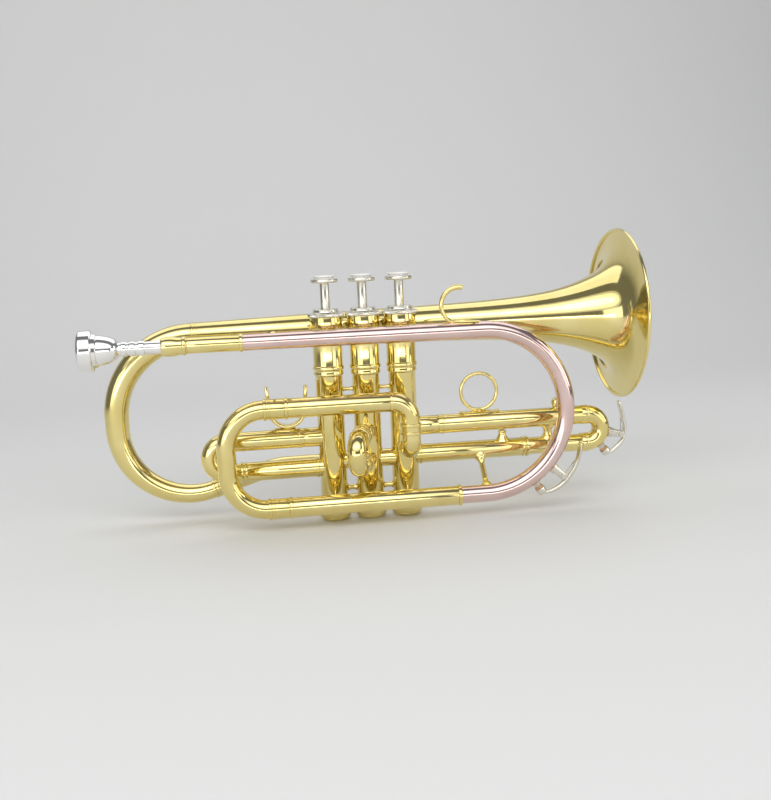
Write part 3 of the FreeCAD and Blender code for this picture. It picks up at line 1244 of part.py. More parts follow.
def key_lever(key):
    """A rocker: hub on the screw, finger arm one way, cork cup the other."""
    name = f"{key}_water_key"
    spec = KEYS[key]
    surface, _, pivot = key_radii(key)
    thick, wide, hub_wide = value("key_thick"), value("key_wide"), value("key_hub_wide")
    centre = polar(key, pivot, spec["pivot"])
    hub = Part.makeCylinder(value("key_hub_r"), hub_wide, centre - Vector(0, hub_wide / 2, 0), Vector(0, 1, 0))
    cup_base = surface + value("nipple_high + cork_gap + cork_thick - cork_sunk")
    cup_top = surface + spec["path"][0][1]
    cup = Part.makeCone(value("cork_r + cup_wall"), value("cork_r") - 0.4, cup_top - cup_base,
                        polar(key, cup_base, spec["cork"]), outwards(spec["cork"]))
    arm = strip_under(lever_back(key), thick, wide)
    touch = strip_under(lever_back(key, first=spec["path"][-3][0]), thick, wide + 2.4)
    touch = touch.makeFillet(thick * 0.4, [e for e in touch.Edges if e.BoundBox.YLength > wide])
    away = outwards(spec["pivot"])
    across = Vector(-away.z, 0, away.x)
    rise = lever_out(key, spec["pivot"]) - spec["pivot_out"] - thick / 2
    web = Part.makePolygon([centre - across * 2.2, centre + across * 2.2, centre + across * 2.6 + away * rise,
                            centre - across * 2.6 + away * rise, centre - across * 2.2])
    web = Part.Face(web).extrude(Vector(0, hub_wide, 0))
    web.translate(Vector(0, -hub_wide / 2, 0))
    shape = hub.fuse([arm, touch, web, cup])
    pin = value("key_pin + key_pin_gap")
    shape = shape.cut(Part.makeCylinder(pin, 20, centre - Vector(0, 10, 0), Vector(0, 1, 0)))
    return kept(feature(name, solid_of(shape.cut(cork_shape(key)))), name)


def cork_shape(key):
    surface, _, _ = key_radii(key)
    angle = KEYS[key]["cork"]
    base = surface + value("nipple_high + cork_gap")
    return Part.makeCylinder(value("cork_r"), value("cork_thick"), polar(key, base, angle), outwards(angle))


def key_cork(key):
    name = f"{key}_key_cork"
    return kept(feature(name, cork_shape(key)), name)


def key_spring(key):
    """Two coils on each side of the hub, one leg towards the saddle's floor and one under the finger arm."""
    name = f"{key}_key_spring"
    spec = KEYS[key]
    surface, _, pivot = key_radii(key)
    wire, coil = value("key_wire"), value("key_coil_r")
    centre = polar(key, pivot, spec["pivot"])
    offset = 2.05
    coils = [Part.makeTorus(coil, wire, centre + Vector(0, y, 0), Vector(0, 1, 0))
             for y in (-offset - 0.35, -offset + 0.05, offset - 0.05, offset + 0.35)]
    under_arm = (spec["pivot"] + spec["path"][-1][0]) / 2
    under_radius = surface + lever_out(key, under_arm) - value("key_thick") - wire - 0.25
    legs = []
    for y in (-offset, offset):
        start = centre + Vector(0, y, 0) + outwards(spec["pivot"]) * coil
        under = polar(key, under_radius, under_arm, y)
        legs.append(Part.makeCylinder(wire, (under - start).Length, start, under - start))
        start = centre + Vector(0, y, 0) - outwards(spec["pivot"]) * coil
        rest = polar(key, surface + 2.4, spec["pivot"], y)
        legs.append(Part.makeCylinder(wire, (rest - start).Length, start, rest - start))
    shape = coils[0].fuse(coils[1:2] + [legs[0], legs[1]])
    other = coils[2].fuse(coils[3:4] + [legs[2], legs[3]])
    return kept(feature(name, Part.Compound([solid_of(shape), solid_of(other)])), name)


# ---------------------------------------------------------------- the whole instrument

def build():
    mouthpiece()
    mouthpiece_receiver()
    leadpipe_front()
    leadpipe()
    tuning_sleeve("tuning_lower_sleeve", "tuning_x", "lower_joint_x", "low_z")
    tuning_sleeve("tuning_upper_sleeve", "tuning_x", "elbow_x", "high_z")
    tuning_elbow()
    tube_ferrules()
    tuning_crook()
    tuning_crook_ferrules()
    for k in VALVES:
        valve_casing(k)
        piston(k)
        stem(k)
        finger_button(k)
        pearl(k)
        valve_spring(k)
    cap_group("top_caps", top_cap)
    cap_group("cap_felts", cap_felt)
    cap_group("bottom_caps", bottom_cap)
    cap_group("valve_guides", valve_guide)
    link_tubes()
    casing_studs()
    for slide in ("first", "third"):
        reversed_slide_tubes(slide)
        reversed_slide_crook(slide)
    second_slide_tubes()
    second_slide_crook()
    thumb_saddle()
    finger_ring()
    third_slide_stay()
    bell()
    bell_rim_wire()
    bell_bow()
    bell_tail()
    bow_ferrules()
    braces()
    finger_hook()
    for key in KEYS:
        key_saddle(key)
        key_screw(key)
        key_lever(key)
        key_cork(key)
        key_spring(key)


def check_document():
    doc.recompute()
    broken = [o.Name for o in doc.Objects if "Invalid" in o.State or "Error" in o.State]
    bad = [p.Label for p in PARTS if p.Shape.isNull() or not p.Shape.isValid() or not p.Shape.Solids]
    if broken or bad:
        raise RuntimeError(f"failed objects {broken}, bad sub-parts {bad}")


def write_parts():
    os.makedirs("parts", exist_ok=True)
    for part in PARTS:
        part.Shape.exportStep(f"parts/{part.Label}.step")
        box = part.Shape.optimalBoundingBox()
        print(f"{part.Label:24s} solids {len(part.Shape.Solids):2d}  volume {part.Shape.Volume:9.1f}  "
              f"x {box.XMin:.1f} {box.XMax:.1f}  y {box.YMin:.1f} {box.YMax:.1f}  z {box.ZMin:.1f} {box.ZMax:.1f}")


fill_sheet()
build()
check_document()
write_parts()
print(len(PARTS), "sub-parts")
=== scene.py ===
"""Looks for the three-valve cornet: turned and bent brass, plated fittings, camera, floor and studio light.

Every length below is in millimetres in the CAD model's frame, and becomes metres when a mesh is made.
"""

import json
import math

import bmesh
import bpy
from mathutils import Matrix, Quaternion, Vector


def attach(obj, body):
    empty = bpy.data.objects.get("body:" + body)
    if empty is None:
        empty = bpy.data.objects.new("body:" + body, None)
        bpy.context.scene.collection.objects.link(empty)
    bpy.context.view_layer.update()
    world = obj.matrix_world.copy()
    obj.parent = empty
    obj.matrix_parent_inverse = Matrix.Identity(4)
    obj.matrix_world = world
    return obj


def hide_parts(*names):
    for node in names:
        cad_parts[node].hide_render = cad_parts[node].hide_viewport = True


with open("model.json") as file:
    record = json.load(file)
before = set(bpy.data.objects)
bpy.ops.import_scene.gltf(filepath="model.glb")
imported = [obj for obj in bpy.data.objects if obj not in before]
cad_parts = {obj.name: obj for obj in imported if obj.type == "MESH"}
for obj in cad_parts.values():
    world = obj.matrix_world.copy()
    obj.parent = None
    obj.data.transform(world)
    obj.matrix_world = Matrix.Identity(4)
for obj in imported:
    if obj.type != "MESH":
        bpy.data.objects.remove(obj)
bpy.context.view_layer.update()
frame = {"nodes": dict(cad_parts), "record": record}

MM = 0.001
TURN = 2 * math.pi
ROUND_STEPS = 96
EDGE = 0.14
CREASE = math.radians(50)

X_AXIS = Vector((1, 0, 0))
Y_AXIS = Vector((0, 1, 0))
Z_AXIS = Vector((0, 0, 1))

# The main sizes of the model, as the CAD has them.
PITCH = 25.5
VALVE_X = {1: -PITCH, 2: 0.0, 3: PITCH}
BORE = 5.83
INNER_R = 6.23
SLEEVE_BORE = 6.28
SLEEVE_R = 6.7
BOW_R = 6.4
CASING_R = 9.5
CASING_WALL_MIDDLE = 9.1
CHAMBER_R = 10.1
LEAD_Y = -24.0
LEAD_Z = 129.5
LOW_Z = 16.2
HIGH_Z = 84.3
BELL_Y = 24.0
BELL_Z = 132.0
BELL_X = -118.0
RECEIVER_X = -134.8
ROSE_X = -83.5
LOWER_JOINT_X = 57.5
LEAD_BEND_X = 79.0
TUNING_X = -58.0
TUNING_BOW_X = -72.0
ELBOW_X = 12.6
DROP_X = 26.8
LINK_Z = 41.2
ENTRY_Z = 49.5
TAIL_Z = 35.5
THIRD_LOW = 42.2
THIRD_HIGH = 62.4
FIRST_HIGH = 59.2
BOW_LEAN = 17.0
PAD = 1.2
# Where a tube's centreline starts, just inside a casing's outer face.
AT_CASING = 8.6


# ---------------- meshes

def make_object(name, points, faces):
    """A smooth mesh object with its faces outwards; edges past the crease angle stay sharp."""
    mesh = bpy.data.meshes.new(name)
    mesh.from_pydata([p * MM for p in points], [], faces)
    solid = bmesh.new()
    solid.from_mesh(mesh)
    bmesh.ops.remove_doubles(solid, verts=solid.verts, dist=1e-6)
    bmesh.ops.recalc_face_normals(solid, faces=solid.faces)
    for face in solid.faces:
        face.smooth = True
    for edge in solid.edges:
        edge.smooth = edge.calc_face_angle(0) < CREASE
    solid.to_mesh(mesh)
    solid.free()
    obj = bpy.data.objects.new(name, mesh)
    bpy.context.scene.collection.objects.link(obj)
    return obj


def merge(name, objects):
    """One object out of several, when they are one kind of piece on one body."""
    bpy.ops.object.select_all(action="DESELECT")
    for obj in objects:
        obj.select_set(True)
    bpy.context.view_layer.objects.active = objects[0]
    if len(objects) > 1:
        bpy.ops.object.join()
    merged = bpy.context.view_layer.objects.active
    merged.name = name
    merged.data.name = name
    merged.select_set(False)
    return merged


def bridge(rings, closed):
    """Faces between rings of points, each given as a start index and a count; a count of one is a pole."""
    faces = []
    pairs = list(zip(rings, rings[1:]))
    if closed:
        pairs.append((rings[-1], rings[0]))
    for (a, a_count), (b, b_count) in pairs:
        count = max(a_count, b_count)
        for i in range(count):
            j = (i + 1) % count
            if a_count == 1 and b_count == 1:
                continue
            if a_count == 1:
                faces.append((a, b + j, b + i))
            elif b_count == 1:
                faces.append((a + i, a + j, b))
            else:
                faces.append((a + i, a + j, b + j, b + i))
    return faces


def softened(outline, edge):
    """A closed outline with each sharp corner cut back a little, so that it catches the light."""
    points = []
    count = len(outline)
    for i in range(count):
        before = Vector(outline[i - 1][:2])
        corner = Vector(outline[i][:2])
        after = Vector(outline[(i + 1) % count][:2])
        arriving = corner - before
        leaving = after - corner
        if corner.y < 1e-6 or arriving.length < 1e-6 or leaving.length < 1e-6:
            points.append(corner)
            continue
        turn = arriving.angle(leaving)
        back = min(edge, 0.35 * arriving.length, 0.35 * leaving.length)
        if turn < 0.35 or back < 0.01:
            points.append(corner)
            continue
        start = corner - arriving.normalized() * back
        end = corner + leaving.normalized() * back
        middle = (start + end) / 2 + (corner - (start + end) / 2) * 0.42
        points += [start, middle, end]
    return points


def lathe(name, outline, at, axis=X_AXIS, edge=EDGE, steps=ROUND_STEPS, ribs=None):
    """A turned piece from a closed outline of (along, radius).

    Ribs are (low, high, depth, least radius) of a knurled band, which has a groove at every second step.
    """
    side, up = across(axis)
    points, rings = [], []
    for along, radius in softened(outline, edge):
        centre = Vector(at) + axis * along
        if radius < 1e-6:
            rings.append((len(points), 1))
            points.append(centre)
            continue
        rings.append((len(points), steps))
        for i in range(steps):
            angle = TURN * i / steps
            reach = radius
            if ribs and ribs[0] <= along <= ribs[1] and radius > ribs[3]:
                reach -= ribs[2] * (i % 2)
            points.append(centre + (side * math.cos(angle) + up * math.sin(angle)) * reach)
    return make_object(name, points, bridge(rings, closed=True))


def across(axis):
    """Two unit vectors square to an axis."""
    reference = Z_AXIS if abs(axis.z) < 0.9 else X_AXIS
    side = axis.cross(reference).normalized()
    return side, axis.cross(side).normalized()


def smooth_curve(knots, steps):
    """Points on a Catmull-Rom curve through knots."""
    padded = [knots[0] * 2 - knots[1]] + list(knots) + [knots[-1] * 2 - knots[-2]]
    points = []
    for a, b, c, d in zip(padded, padded[1:], padded[2:], padded[3:]):
        for i in range(steps):
            t = i / steps
            points.append(0.5 * (2 * b + (c - a) * t + (2 * a - 5 * b + 4 * c - d) * t * t
                                 + (3 * b - 3 * c + d - a) * t * t * t))
    points.append(knots[-1])
    return points


# ---------------- bent tubes

def rounded(corners, radii, step=3.0):
    """Points along straight runs joined by tangent arcs: the same route as the CAD's."""
    corners = [Vector(c) for c in corners]
    points = [corners[0]]
    for before, corner, after, radius in zip(corners, corners[1:], corners[2:], radii):
        arriving = (corner - before).normalized()
        leaving = (after - corner).normalized()
        turn = arriving.angle(leaving)
        back = radius * math.tan(turn / 2)
        centre = corner - arriving * back + (leaving - arriving * math.cos(turn)).normalized() * radius
        start = corner - arriving * back - centre
        axis = arriving.cross(leaving).normalized()
        count = max(2, math.ceil(math.degrees(turn) / step))
        for i in range(count + 1):
            points.append(centre + Quaternion(axis, turn * i / count) @ start)
    points.append(corners[-1])
    return points


def arc(centre, radius, start, sweep, step=3.0):
    """Points on an arc in an upright plane along X; angles in degrees, anticlockwise as seen from -Y."""
    count = max(2, math.ceil(abs(sweep) / step))
    points = []
    for i in range(count + 1):
        angle = math.radians(start + sweep * i / count)
        points.append(Vector(centre) + Vector((math.cos(angle), 0, math.sin(angle))) * radius)
    return points


def without_repeats(points):
    """The points, less any that is where the one before it is."""
    kept = [points[0]]
    for point in points[1:]:
        if (point - kept[-1]).length > 1e-4:
            kept.append(point)
    return kept


def frames_along(points):
    """The tangent at each point, and a side and an up vector carried along without twist."""
    tangents = []
    for i, point in enumerate(points):
        ahead = points[min(i + 1, len(points) - 1)]
        behind = points[max(i - 1, 0)]
        if 0 < i < len(points) - 1:
            tangents.append(((ahead - point).normalized() + (point - behind).normalized()).normalized())
        else:
            tangents.append((ahead - behind).normalized())
    side, up = across(tangents[0])
    frames = [(side, up)]
    for before, after in zip(tangents, tangents[1:]):
        turn = before.rotation_difference(after)
        side, up = turn @ side, turn @ up
        frames.append((side, up))
    return tangents, frames


def lengths_along(points):
    """The distance along the route at each of its points."""
    lengths = [0.0]
    for a, b in zip(points, points[1:]):
        lengths.append(lengths[-1] + (b - a).length)
    return lengths


def pipe(name, route, outer, inner=None, steps=64, seat_start=None, seat_end=None):
    """A tube along a route. Radii are numbers or functions of the share of the length.

    A seat is (centre, radius, axis) of a cylinder that the tube's end is shaped to, as a saddle joint.
    """
    points = without_repeats(route)
    tangents, frames = frames_along(points)
    lengths = lengths_along(points)
    skins = [outer] if inner is None else [outer, inner]
    mesh_points, rings = [], []
    for skin in skins:
        order = range(len(points)) if skin is outer else reversed(range(len(points)))
        for i in order:
            radius = skin(lengths[i] / lengths[-1]) if callable(skin) else skin
            seat = seat_start if i == 0 else seat_end if i == len(points) - 1 else None
            rings.append((len(mesh_points), steps))
            for k in range(steps):
                angle = TURN * k / steps
                side, up = frames[i]
                point = points[i] + (side * math.cos(angle) + up * math.sin(angle)) * radius
                mesh_points.append(seated(point, tangents[i], *seat) if seat else point)
    if inner is None:
        mesh_points += [points[-1], points[0]]
        rings.append((len(mesh_points) - 2, 1))
        rings.append((len(mesh_points) - 1, 1))
    return make_object(name, mesh_points, bridge(rings, closed=True))


def seated(point, along, centre, radius, axis=Z_AXIS):
    """The point moved along a direction until it is on a cylinder, on the side where it already is."""
    flat = along - axis * along.dot(axis)
    offset = point - Vector(centre)
    offset -= axis * offset.dot(axis)
    a = flat.length_squared
    b = 2 * offset.dot(flat)
    c = offset.length_squared - radius * radius
    root = max(b * b - 4 * a * c, 0)
    shifts = [(-b + sign * math.sqrt(root)) / (2 * a) for sign in (1, -1)]
    return point + along * min(shifts, key=abs)


def seat_on(valve):
    """The seat of a tube that ends in a valve's casing."""
    return ((VALVE_X[valve], 0.0, 0.0), CASING_WALL_MIDDLE)


def straight_tube(name, start, end, y, z, outer, inner):
    return lathe(name, [(start, inner), (start, outer), (end, outer), (end, inner)], (0, y, z))


def bead_ring(name, start, end, inner, outer, at, axis=X_AXIS):
    """A raised ring with a rounded back."""
    middle = (start + end) / 2
    low = inner + (outer - inner) * 0.45
    shoulder = (end - start) * 0.16
    back = [Vector((start, low)), Vector((start + shoulder, outer - 0.05)), Vector((middle, outer)),
            Vector((end - shoulder, outer - 0.05)), Vector((end, low))]
    return lathe(name, [(start, inner)] + smooth_curve(back, 4) + [(end, inner)], at, axis, edge=0.03)


def ribbon(name, route, wide, thick, end=0.5, steps=32, square=0.4):
    """A bar of rounded rectangular section along a route in an upright plane along X, with softened ends.

    The width is along Y. Width and thickness are numbers or functions of the share of the length. The section
    is an ellipse where square is 1, and nearly a rectangle where it is near 0.
    """
    route = without_repeats(route)
    first = (route[1] - route[0]).normalized()
    last = (route[-1] - route[-2]).normalized()
    points = [route[0], route[0] + first * end * 0.3] + route[1:-1]
    points += [route[-1] - last * end * 0.3, route[-1]]
    _, frames = frames_along(points)
    lengths = lengths_along(points)
    mesh_points, rings = [], []
    for i, point in enumerate(points):
        share = lengths[i] / lengths[-1]
        half_wide = (wide(share) if callable(wide) else wide) / 2
        half_thick = (thick(share) if callable(thick) else thick) / 2
        if i in (0, len(points) - 1):
            half_wide -= end * 0.5
            half_thick -= end * 0.5
        side, up = frames[i]
        rings.append((len(mesh_points), steps))
        for k in range(steps):
            turn = TURN * (k + 0.5) / steps
            over = math.copysign(abs(math.cos(turn)) ** square, math.cos(turn)) * half_wide
            rise = math.copysign(abs(math.sin(turn)) ** square, math.sin(turn)) * half_thick
            mesh_points.append(point + side * over + up * rise)
    mesh_points += [points[-1], points[0]]
    rings.append((len(mesh_points) - 2, 1))
    rings.append((len(mesh_points) - 1, 1))
    return make_object(name, mesh_points, bridge(rings, closed=True))


def saddle_foot(name, tube_r, start, end, y, z, spread, lift=0.0):
    """A soldered foot wrapped over the top of a tube along X: thinned to its edges, narrowed to its ends."""
    along_steps, round_steps = 28, 16
    grids = []
    for outside in (True, False):
        grid = []
        for i in range(along_steps + 1):
            u = 2 * i / along_steps - 1
            half = math.radians(spread / 2) * (1 - 0.62 * abs(u) ** 3)
            raised = lift * max(0.0, (abs(u) - 0.55) / 0.45) ** 2
            for k in range(round_steps + 1):
                v = 2 * k / round_steps - 1
                skin = PAD * (1 - 0.45 * abs(u) ** 4) * (1 - 0.5 * abs(v) ** 4) if outside else -0.03
                reach = tube_r + raised + skin
                x = start + (end - start) * (u + 1) / 2
                grid.append(Vector((x, y + reach * math.sin(v * half), z + reach * math.cos(v * half))))
        grids.append(grid)
    row, count = round_steps + 1, len(grids[0])
    faces = []
    for i in range(along_steps):
        for k in range(round_steps):
            a = i * row + k
            for base in (0, count):
                faces.append((base + a, base + a + 1, base + a + row + 1, base + a + row))
    border = list(range(row)) + [i * row + round_steps for i in range(1, along_steps + 1)]
    border += [along_steps * row + k for k in range(round_steps - 1, -1, -1)]
    border += [i * row for i in range(along_steps - 1, 0, -1)]
    for a, b in zip(border, border[1:] + border[:1]):
        faces.append((a, b, b + count, a + count))
    return make_object(name, grids[0] + grids[1], faces)


def circle(along, radius, wire, count=24):
    """The closed outline of a round wire, for a ring turned about its axis."""
    return [Vector((along + wire * math.cos(TURN * i / count), radius + wire * math.sin(TURN * i / count)))
            for i in range(count)]


# ---------------- materials

def add(nodes, kind, values=None, **settings):
    """A new node with values on its own sockets and settings of its own."""
    node = nodes.new(kind)
    for key, setting in settings.items():
        setattr(node, key, setting)
    for socket, value in (values or {}).items():
        node.inputs[socket].default_value = value
    return node


def new_material(name, values):
    """A material with one Principled shader, which has the given values on its sockets."""
    material = bpy.data.materials.new(name)
    material.use_nodes = True
    nodes, links = material.node_tree.nodes, material.node_tree.links
    nodes.clear()
    out = add(nodes, "ShaderNodeOutputMaterial")
    shader = add(nodes, "ShaderNodeBsdfPrincipled", values)
    links.new(shader.outputs["BSDF"], out.inputs["Surface"])
    return material, nodes, links, shader


def noise(nodes, links, coordinates, scale, detail, roughness=0.5):
    texture = add(nodes, "ShaderNodeTexNoise", {"Scale": scale, "Detail": detail, "Roughness": roughness})
    links.new(coordinates.outputs["Object"], texture.inputs["Vector"])
    return texture


def ramp(nodes, links, source, stops, target):
    """Colours the target socket by a number."""
    node = add(nodes, "ShaderNodeValToRGB")
    elements = node.color_ramp.elements
    while len(elements) < len(stops):
        elements.new(0.5)
    for element, (place, colour) in zip(elements, stops):
        element.position = place
        element.color = (*colour, 1)
    links.new(source, node.inputs["Fac"])
    links.new(node.outputs["Color"], target)


def spread(nodes, links, source, low, high, target):
    """Drives the target socket from low to high by the middle part of a noise."""
    node = add(nodes, "ShaderNodeMapRange", {"From Min": 0.3, "From Max": 0.7, "To Min": low, "To Max": high})
    links.new(source, node.inputs["Value"])
    links.new(node.outputs["Result"], target)


def relief(nodes, links, source, strength, distance, shader):
    """Bumps a shader's surface by a noise."""
    bump = add(nodes, "ShaderNodeBump", {"Strength": strength, "Distance": distance})
    links.new(source, bump.inputs["Height"])
    links.new(bump.outputs["Normal"], shader.inputs["Normal"])


def polished_metal(name, tones, rough, coat=0.0, ripple=0.02):
    """Bright metal: slow changes of tone, faint handling marks in the gloss and a fine waviness."""
    material, nodes, links, shader = new_material(
        name, {"Metallic": 1.0, "Coat Weight": coat, "Coat Roughness": 0.04})
    place = add(nodes, "ShaderNodeTexCoord")
    slow = noise(nodes, links, place, 38.0, 2.0)
    ramp(nodes, links, slow.outputs["Fac"], [(0.32, tones[0]), (0.68, tones[1])], shader.inputs["Base Color"])
    marks = noise(nodes, links, place, 240.0, 5.0, 0.62)
    spread(nodes, links, marks.outputs["Fac"], rough, rough + 0.05, shader.inputs["Roughness"])
    waves = noise(nodes, links, place, 160.0, 2.0)
    relief(nodes, links, waves.outputs["Fac"], ripple, 0.001, shader)
    return material


def mother_of_pearl():
    """Pale nacre: cloudy bands that drift between cream, grey-green and rose, under a clear polish."""
    material, nodes, links, shader = new_material(
        "pearl", {"Roughness": 0.18, "Coat Weight": 0.8, "Coat Roughness": 0.05, "Specular IOR Level": 0.7})
    place = add(nodes, "ShaderNodeTexCoord")
    clouds = noise(nodes, links, place, 180.0, 4.0, 0.6)
    pattern = {"Scale": 90.0, "Distortion": 9.0, "Detail": 2.0}
    bands = add(nodes, "ShaderNodeTexWave", pattern, wave_type="BANDS")
    links.new(place.outputs["Object"], bands.inputs["Vector"])
    mixed = add(nodes, "ShaderNodeMath", {1: 0.45}, operation="MULTIPLY_ADD")
    links.new(bands.outputs["Fac"], mixed.inputs[0])
    links.new(clouds.outputs["Fac"], mixed.inputs[2])
    stops = [(0.35, (0.80, 0.78, 0.72)), (0.55, (0.93, 0.91, 0.88)), (0.72, (0.78, 0.82, 0.80)),
             (0.9, (0.92, 0.84, 0.83))]
    ramp(nodes, links, mixed.outputs["Value"], stops, shader.inputs["Base Color"])
    return material


def grainy(name, tones, scale, rough, bump_strength, sheen=0.0):
    """A matt, speckled stuff such as cork or felt."""
    material, nodes, links, shader = new_material(name, {"Roughness": rough, "Sheen Weight": sheen})
    place = add(nodes, "ShaderNodeTexCoord")
    grain = noise(nodes, links, place, scale, 6.0, 0.7)
    ramp(nodes, links, grain.outputs["Fac"], [(0.35, tones[0]), (0.6, tones[1])], shader.inputs["Base Color"])
    relief(nodes, links, grain.outputs["Fac"], bump_strength, 0.0005, shader)
    return material


MATERIALS = {
    "yellow_brass": polished_metal("yellow_brass", ((0.80, 0.66, 0.25), (0.88, 0.75, 0.34)), 0.07, coat=0.2),
    "rose_brass": polished_metal("rose_brass", ((0.74, 0.54, 0.49), (0.81, 0.62, 0.58)), 0.07, coat=0.2),
    "nickel": polished_metal("nickel", ((0.72, 0.69, 0.59), (0.82, 0.79, 0.70)), 0.17),
    "silver": polished_metal("silver", ((0.88, 0.87, 0.85), (0.94, 0.93, 0.92)), 0.04, ripple=0.01),
    "spring_steel": polished_metal("spring_steel", ((0.60, 0.59, 0.56), (0.72, 0.71, 0.68)), 0.2),
    "pearl": mother_of_pearl(),
    "cork": grainy("cork", ((0.30, 0.15, 0.07), (0.62, 0.38, 0.20)), 900.0, 0.85, 0.6),
    "felt": grainy("felt", ((0.62, 0.60, 0.54), (0.80, 0.78, 0.72)), 1600.0, 0.95, 0.8, sheen=0.4),
}
SLOT_OF = {entry["node"]: entry["material_slot"] for entry in frame["record"]["subparts"]}
BODY_OF = {node: body for body, names in frame["record"]["behaviour"]["bodies"].items() for node in names}


def dress(obj, slot):
    """Gives an object the material of a slot, and no other."""
    obj.data.materials.clear()
    obj.data.materials.append(MATERIALS[slot])


def stands_for(node, objects):
    """Joins the objects into the visible piece for one CAD node: its body, its place and its material."""
    piece = merge("look_" + node, objects)
    dress(piece, SLOT_OF[node])
    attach(piece, BODY_OF[node])
    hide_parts(node)


# ---------------- mouthpiece, leadpipe and tuning slide

def mouthpiece():
    """Cup mouthpiece: rounded rim, banded shoulder, waisted cup and a beaded shank."""
    outside = [Vector(p) for p in ((0.0, 9.9), (0.25, 11.6), (1.0, 12.9), (2.0, 13.5))]
    waist = [Vector(p) for p in ((12.4, 10.0), (16.5, 9.4), (20.5, 8.3), (23.4, 6.8), (25.0, 5.0),
                                 (25.8, 4.4))]
    cup = [Vector(p) for p in ((13.5, 1.85), (12.2, 3.3), (9.7, 5.9), (6.0, 7.4), (2.4, 8.0), (1.0, 8.3),
                               (0.2, 9.0), (0.0, 9.9))]
    outline = smooth_curve(outside, 5)
    outline += [(8.7, 13.5), (9.5, 12.9), (9.5, 11.5), (11.9, 11.0), (11.9, 10.2), (12.4, 10.0)]
    outline += smooth_curve(waist, 5)
    for start, end in ((27.0, 30.6), (32.2, 36.2), (37.8, 42.0)):
        bead = [Vector((start, 4.3)), Vector((start + 0.4, 4.85)), Vector(((start + end) / 2, 5.0)),
                Vector((end - 0.4, 4.85)), Vector((end, 4.3))]
        outline += smooth_curve(bead, 4)
    outline += [(52.1, 4.25), (72.1, 3.85), (72.1, 3.25), (18.5, 1.85)]
    outline += smooth_curve(cup, 5)[:-1]
    stands_for("mouthpiece", [lathe("cup", outline, (-186.9, LEAD_Y, LEAD_Z), steps=128)])


def receiver():
    """The barrel that holds the shank: a long soft swell between two turned collars."""
    swell = [Vector(p) for p in ((0.0, 5.45), (1.2, 6.15), (4.5, 6.6), (8.0, 6.45), (11.5, 5.8),
                                 (13.4, 5.65))]
    outline = [(0.0, 4.28)] + smooth_curve(swell, 5)
    outline += [(13.8, 6.2), (14.6, 6.35), (15.6, 6.2), (16.0, 5.6), (16.6, 5.5), (16.6, 3.97)]
    stands_for("mouthpiece_receiver", [lathe("barrel", outline, (RECEIVER_X, LEAD_Y, LEAD_Z))])
    front = straight_tube("front", -118.2, ROSE_X, LEAD_Y, LEAD_Z, 5.3, 4.6)
    stands_for("leadpipe_front", [front])


def leadpipe():
    """The rose-brass pipe: it widens slowly, turns back on itself and meets the lower tube."""
    middle = (LEAD_Z + LOW_Z) / 2
    bend = arc((LEAD_BEND_X, LEAD_Y, middle), (LEAD_Z - LOW_Z) / 2, 90, -180, 2.0)
    route = [Vector((x, LEAD_Y, LEAD_Z)) for x in range(-83, 79, 6)] + bend
    route[0].x = ROSE_X
    route.append(Vector((LOWER_JOINT_X, LEAD_Y, LOW_Z)))
    taper_share = 162.5 / (162.5 + math.pi * 56.65 + 21.5)

    def outer(share):
        return 5.3 + 0.7 * min(share / taper_share, 1.0)

    def inner(share):
        return outer(share) - 0.5

    stands_for("leadpipe", [pipe("rose", route, outer, inner, steps=72)])


def tuning_tubes():
    """The fixed tubes of the tuning slide, and the elbow from the upper one down into the third valve."""
    for node, end, height in (("tuning_lower_sleeve", LOWER_JOINT_X, LOW_Z),
                              ("tuning_upper_sleeve", ELBOW_X, HIGH_Z)):
        stands_for(node, [straight_tube("sleeve", TUNING_X, end, LEAD_Y, height, SLEEVE_R, SLEEVE_BORE),
                          bead_ring("ring", -58.05, -55.8, SLEEVE_R, 7.35, (0, LEAD_Y, height))])
    corners = [(ELBOW_X, LEAD_Y, HIGH_Z), (DROP_X, LEAD_Y, HIGH_Z), (DROP_X, LEAD_Y, ENTRY_Z),
               (DROP_X, -AT_CASING, ENTRY_Z)]
    route = rounded(corners, [12.6, 9.0])
    stands_for("tuning_elbow", [pipe("elbow", route, BOW_R, BORE, seat_end=seat_on(3))])


def tuning_crook():
    """The main slide: two legs, two quarter bends and the upright back."""
    far, bend, leg_end = TUNING_BOW_X, 26.0, 4.0
    route = [Vector((leg_end, LEAD_Y, HIGH_Z))]
    route += arc((far, LEAD_Y, HIGH_Z - bend), bend, 90, 90)
    route += arc((far, LEAD_Y, LOW_Z + bend), bend, 180, 90)
    route.append(Vector((leg_end, LEAD_Y, LOW_Z)))
    legs = [straight_tube("leg", far, leg_end, LEAD_Y, z, INNER_R, BORE) for z in (HIGH_Z, LOW_Z)]
    stands_for("tuning_crook", [pipe("back", route[1:-1], BOW_R, BORE)] + legs)
    ferrules = []
    for height in (HIGH_Z, LOW_Z):
        at = (0, LEAD_Y, height)
        ferrules.append(straight_tube("ferrule", far, -58.3, LEAD_Y, height, 6.85, INNER_R))
        ferrules.append(bead_ring("bead", far - 0.1, far + 2.1, 6.4, 7.4, at))
        ferrules.append(bead_ring("bead", far + 3.2, far + 4.4, 6.6, 7.15, at))
    stands_for("tuning_crook_ferrules", ferrules)


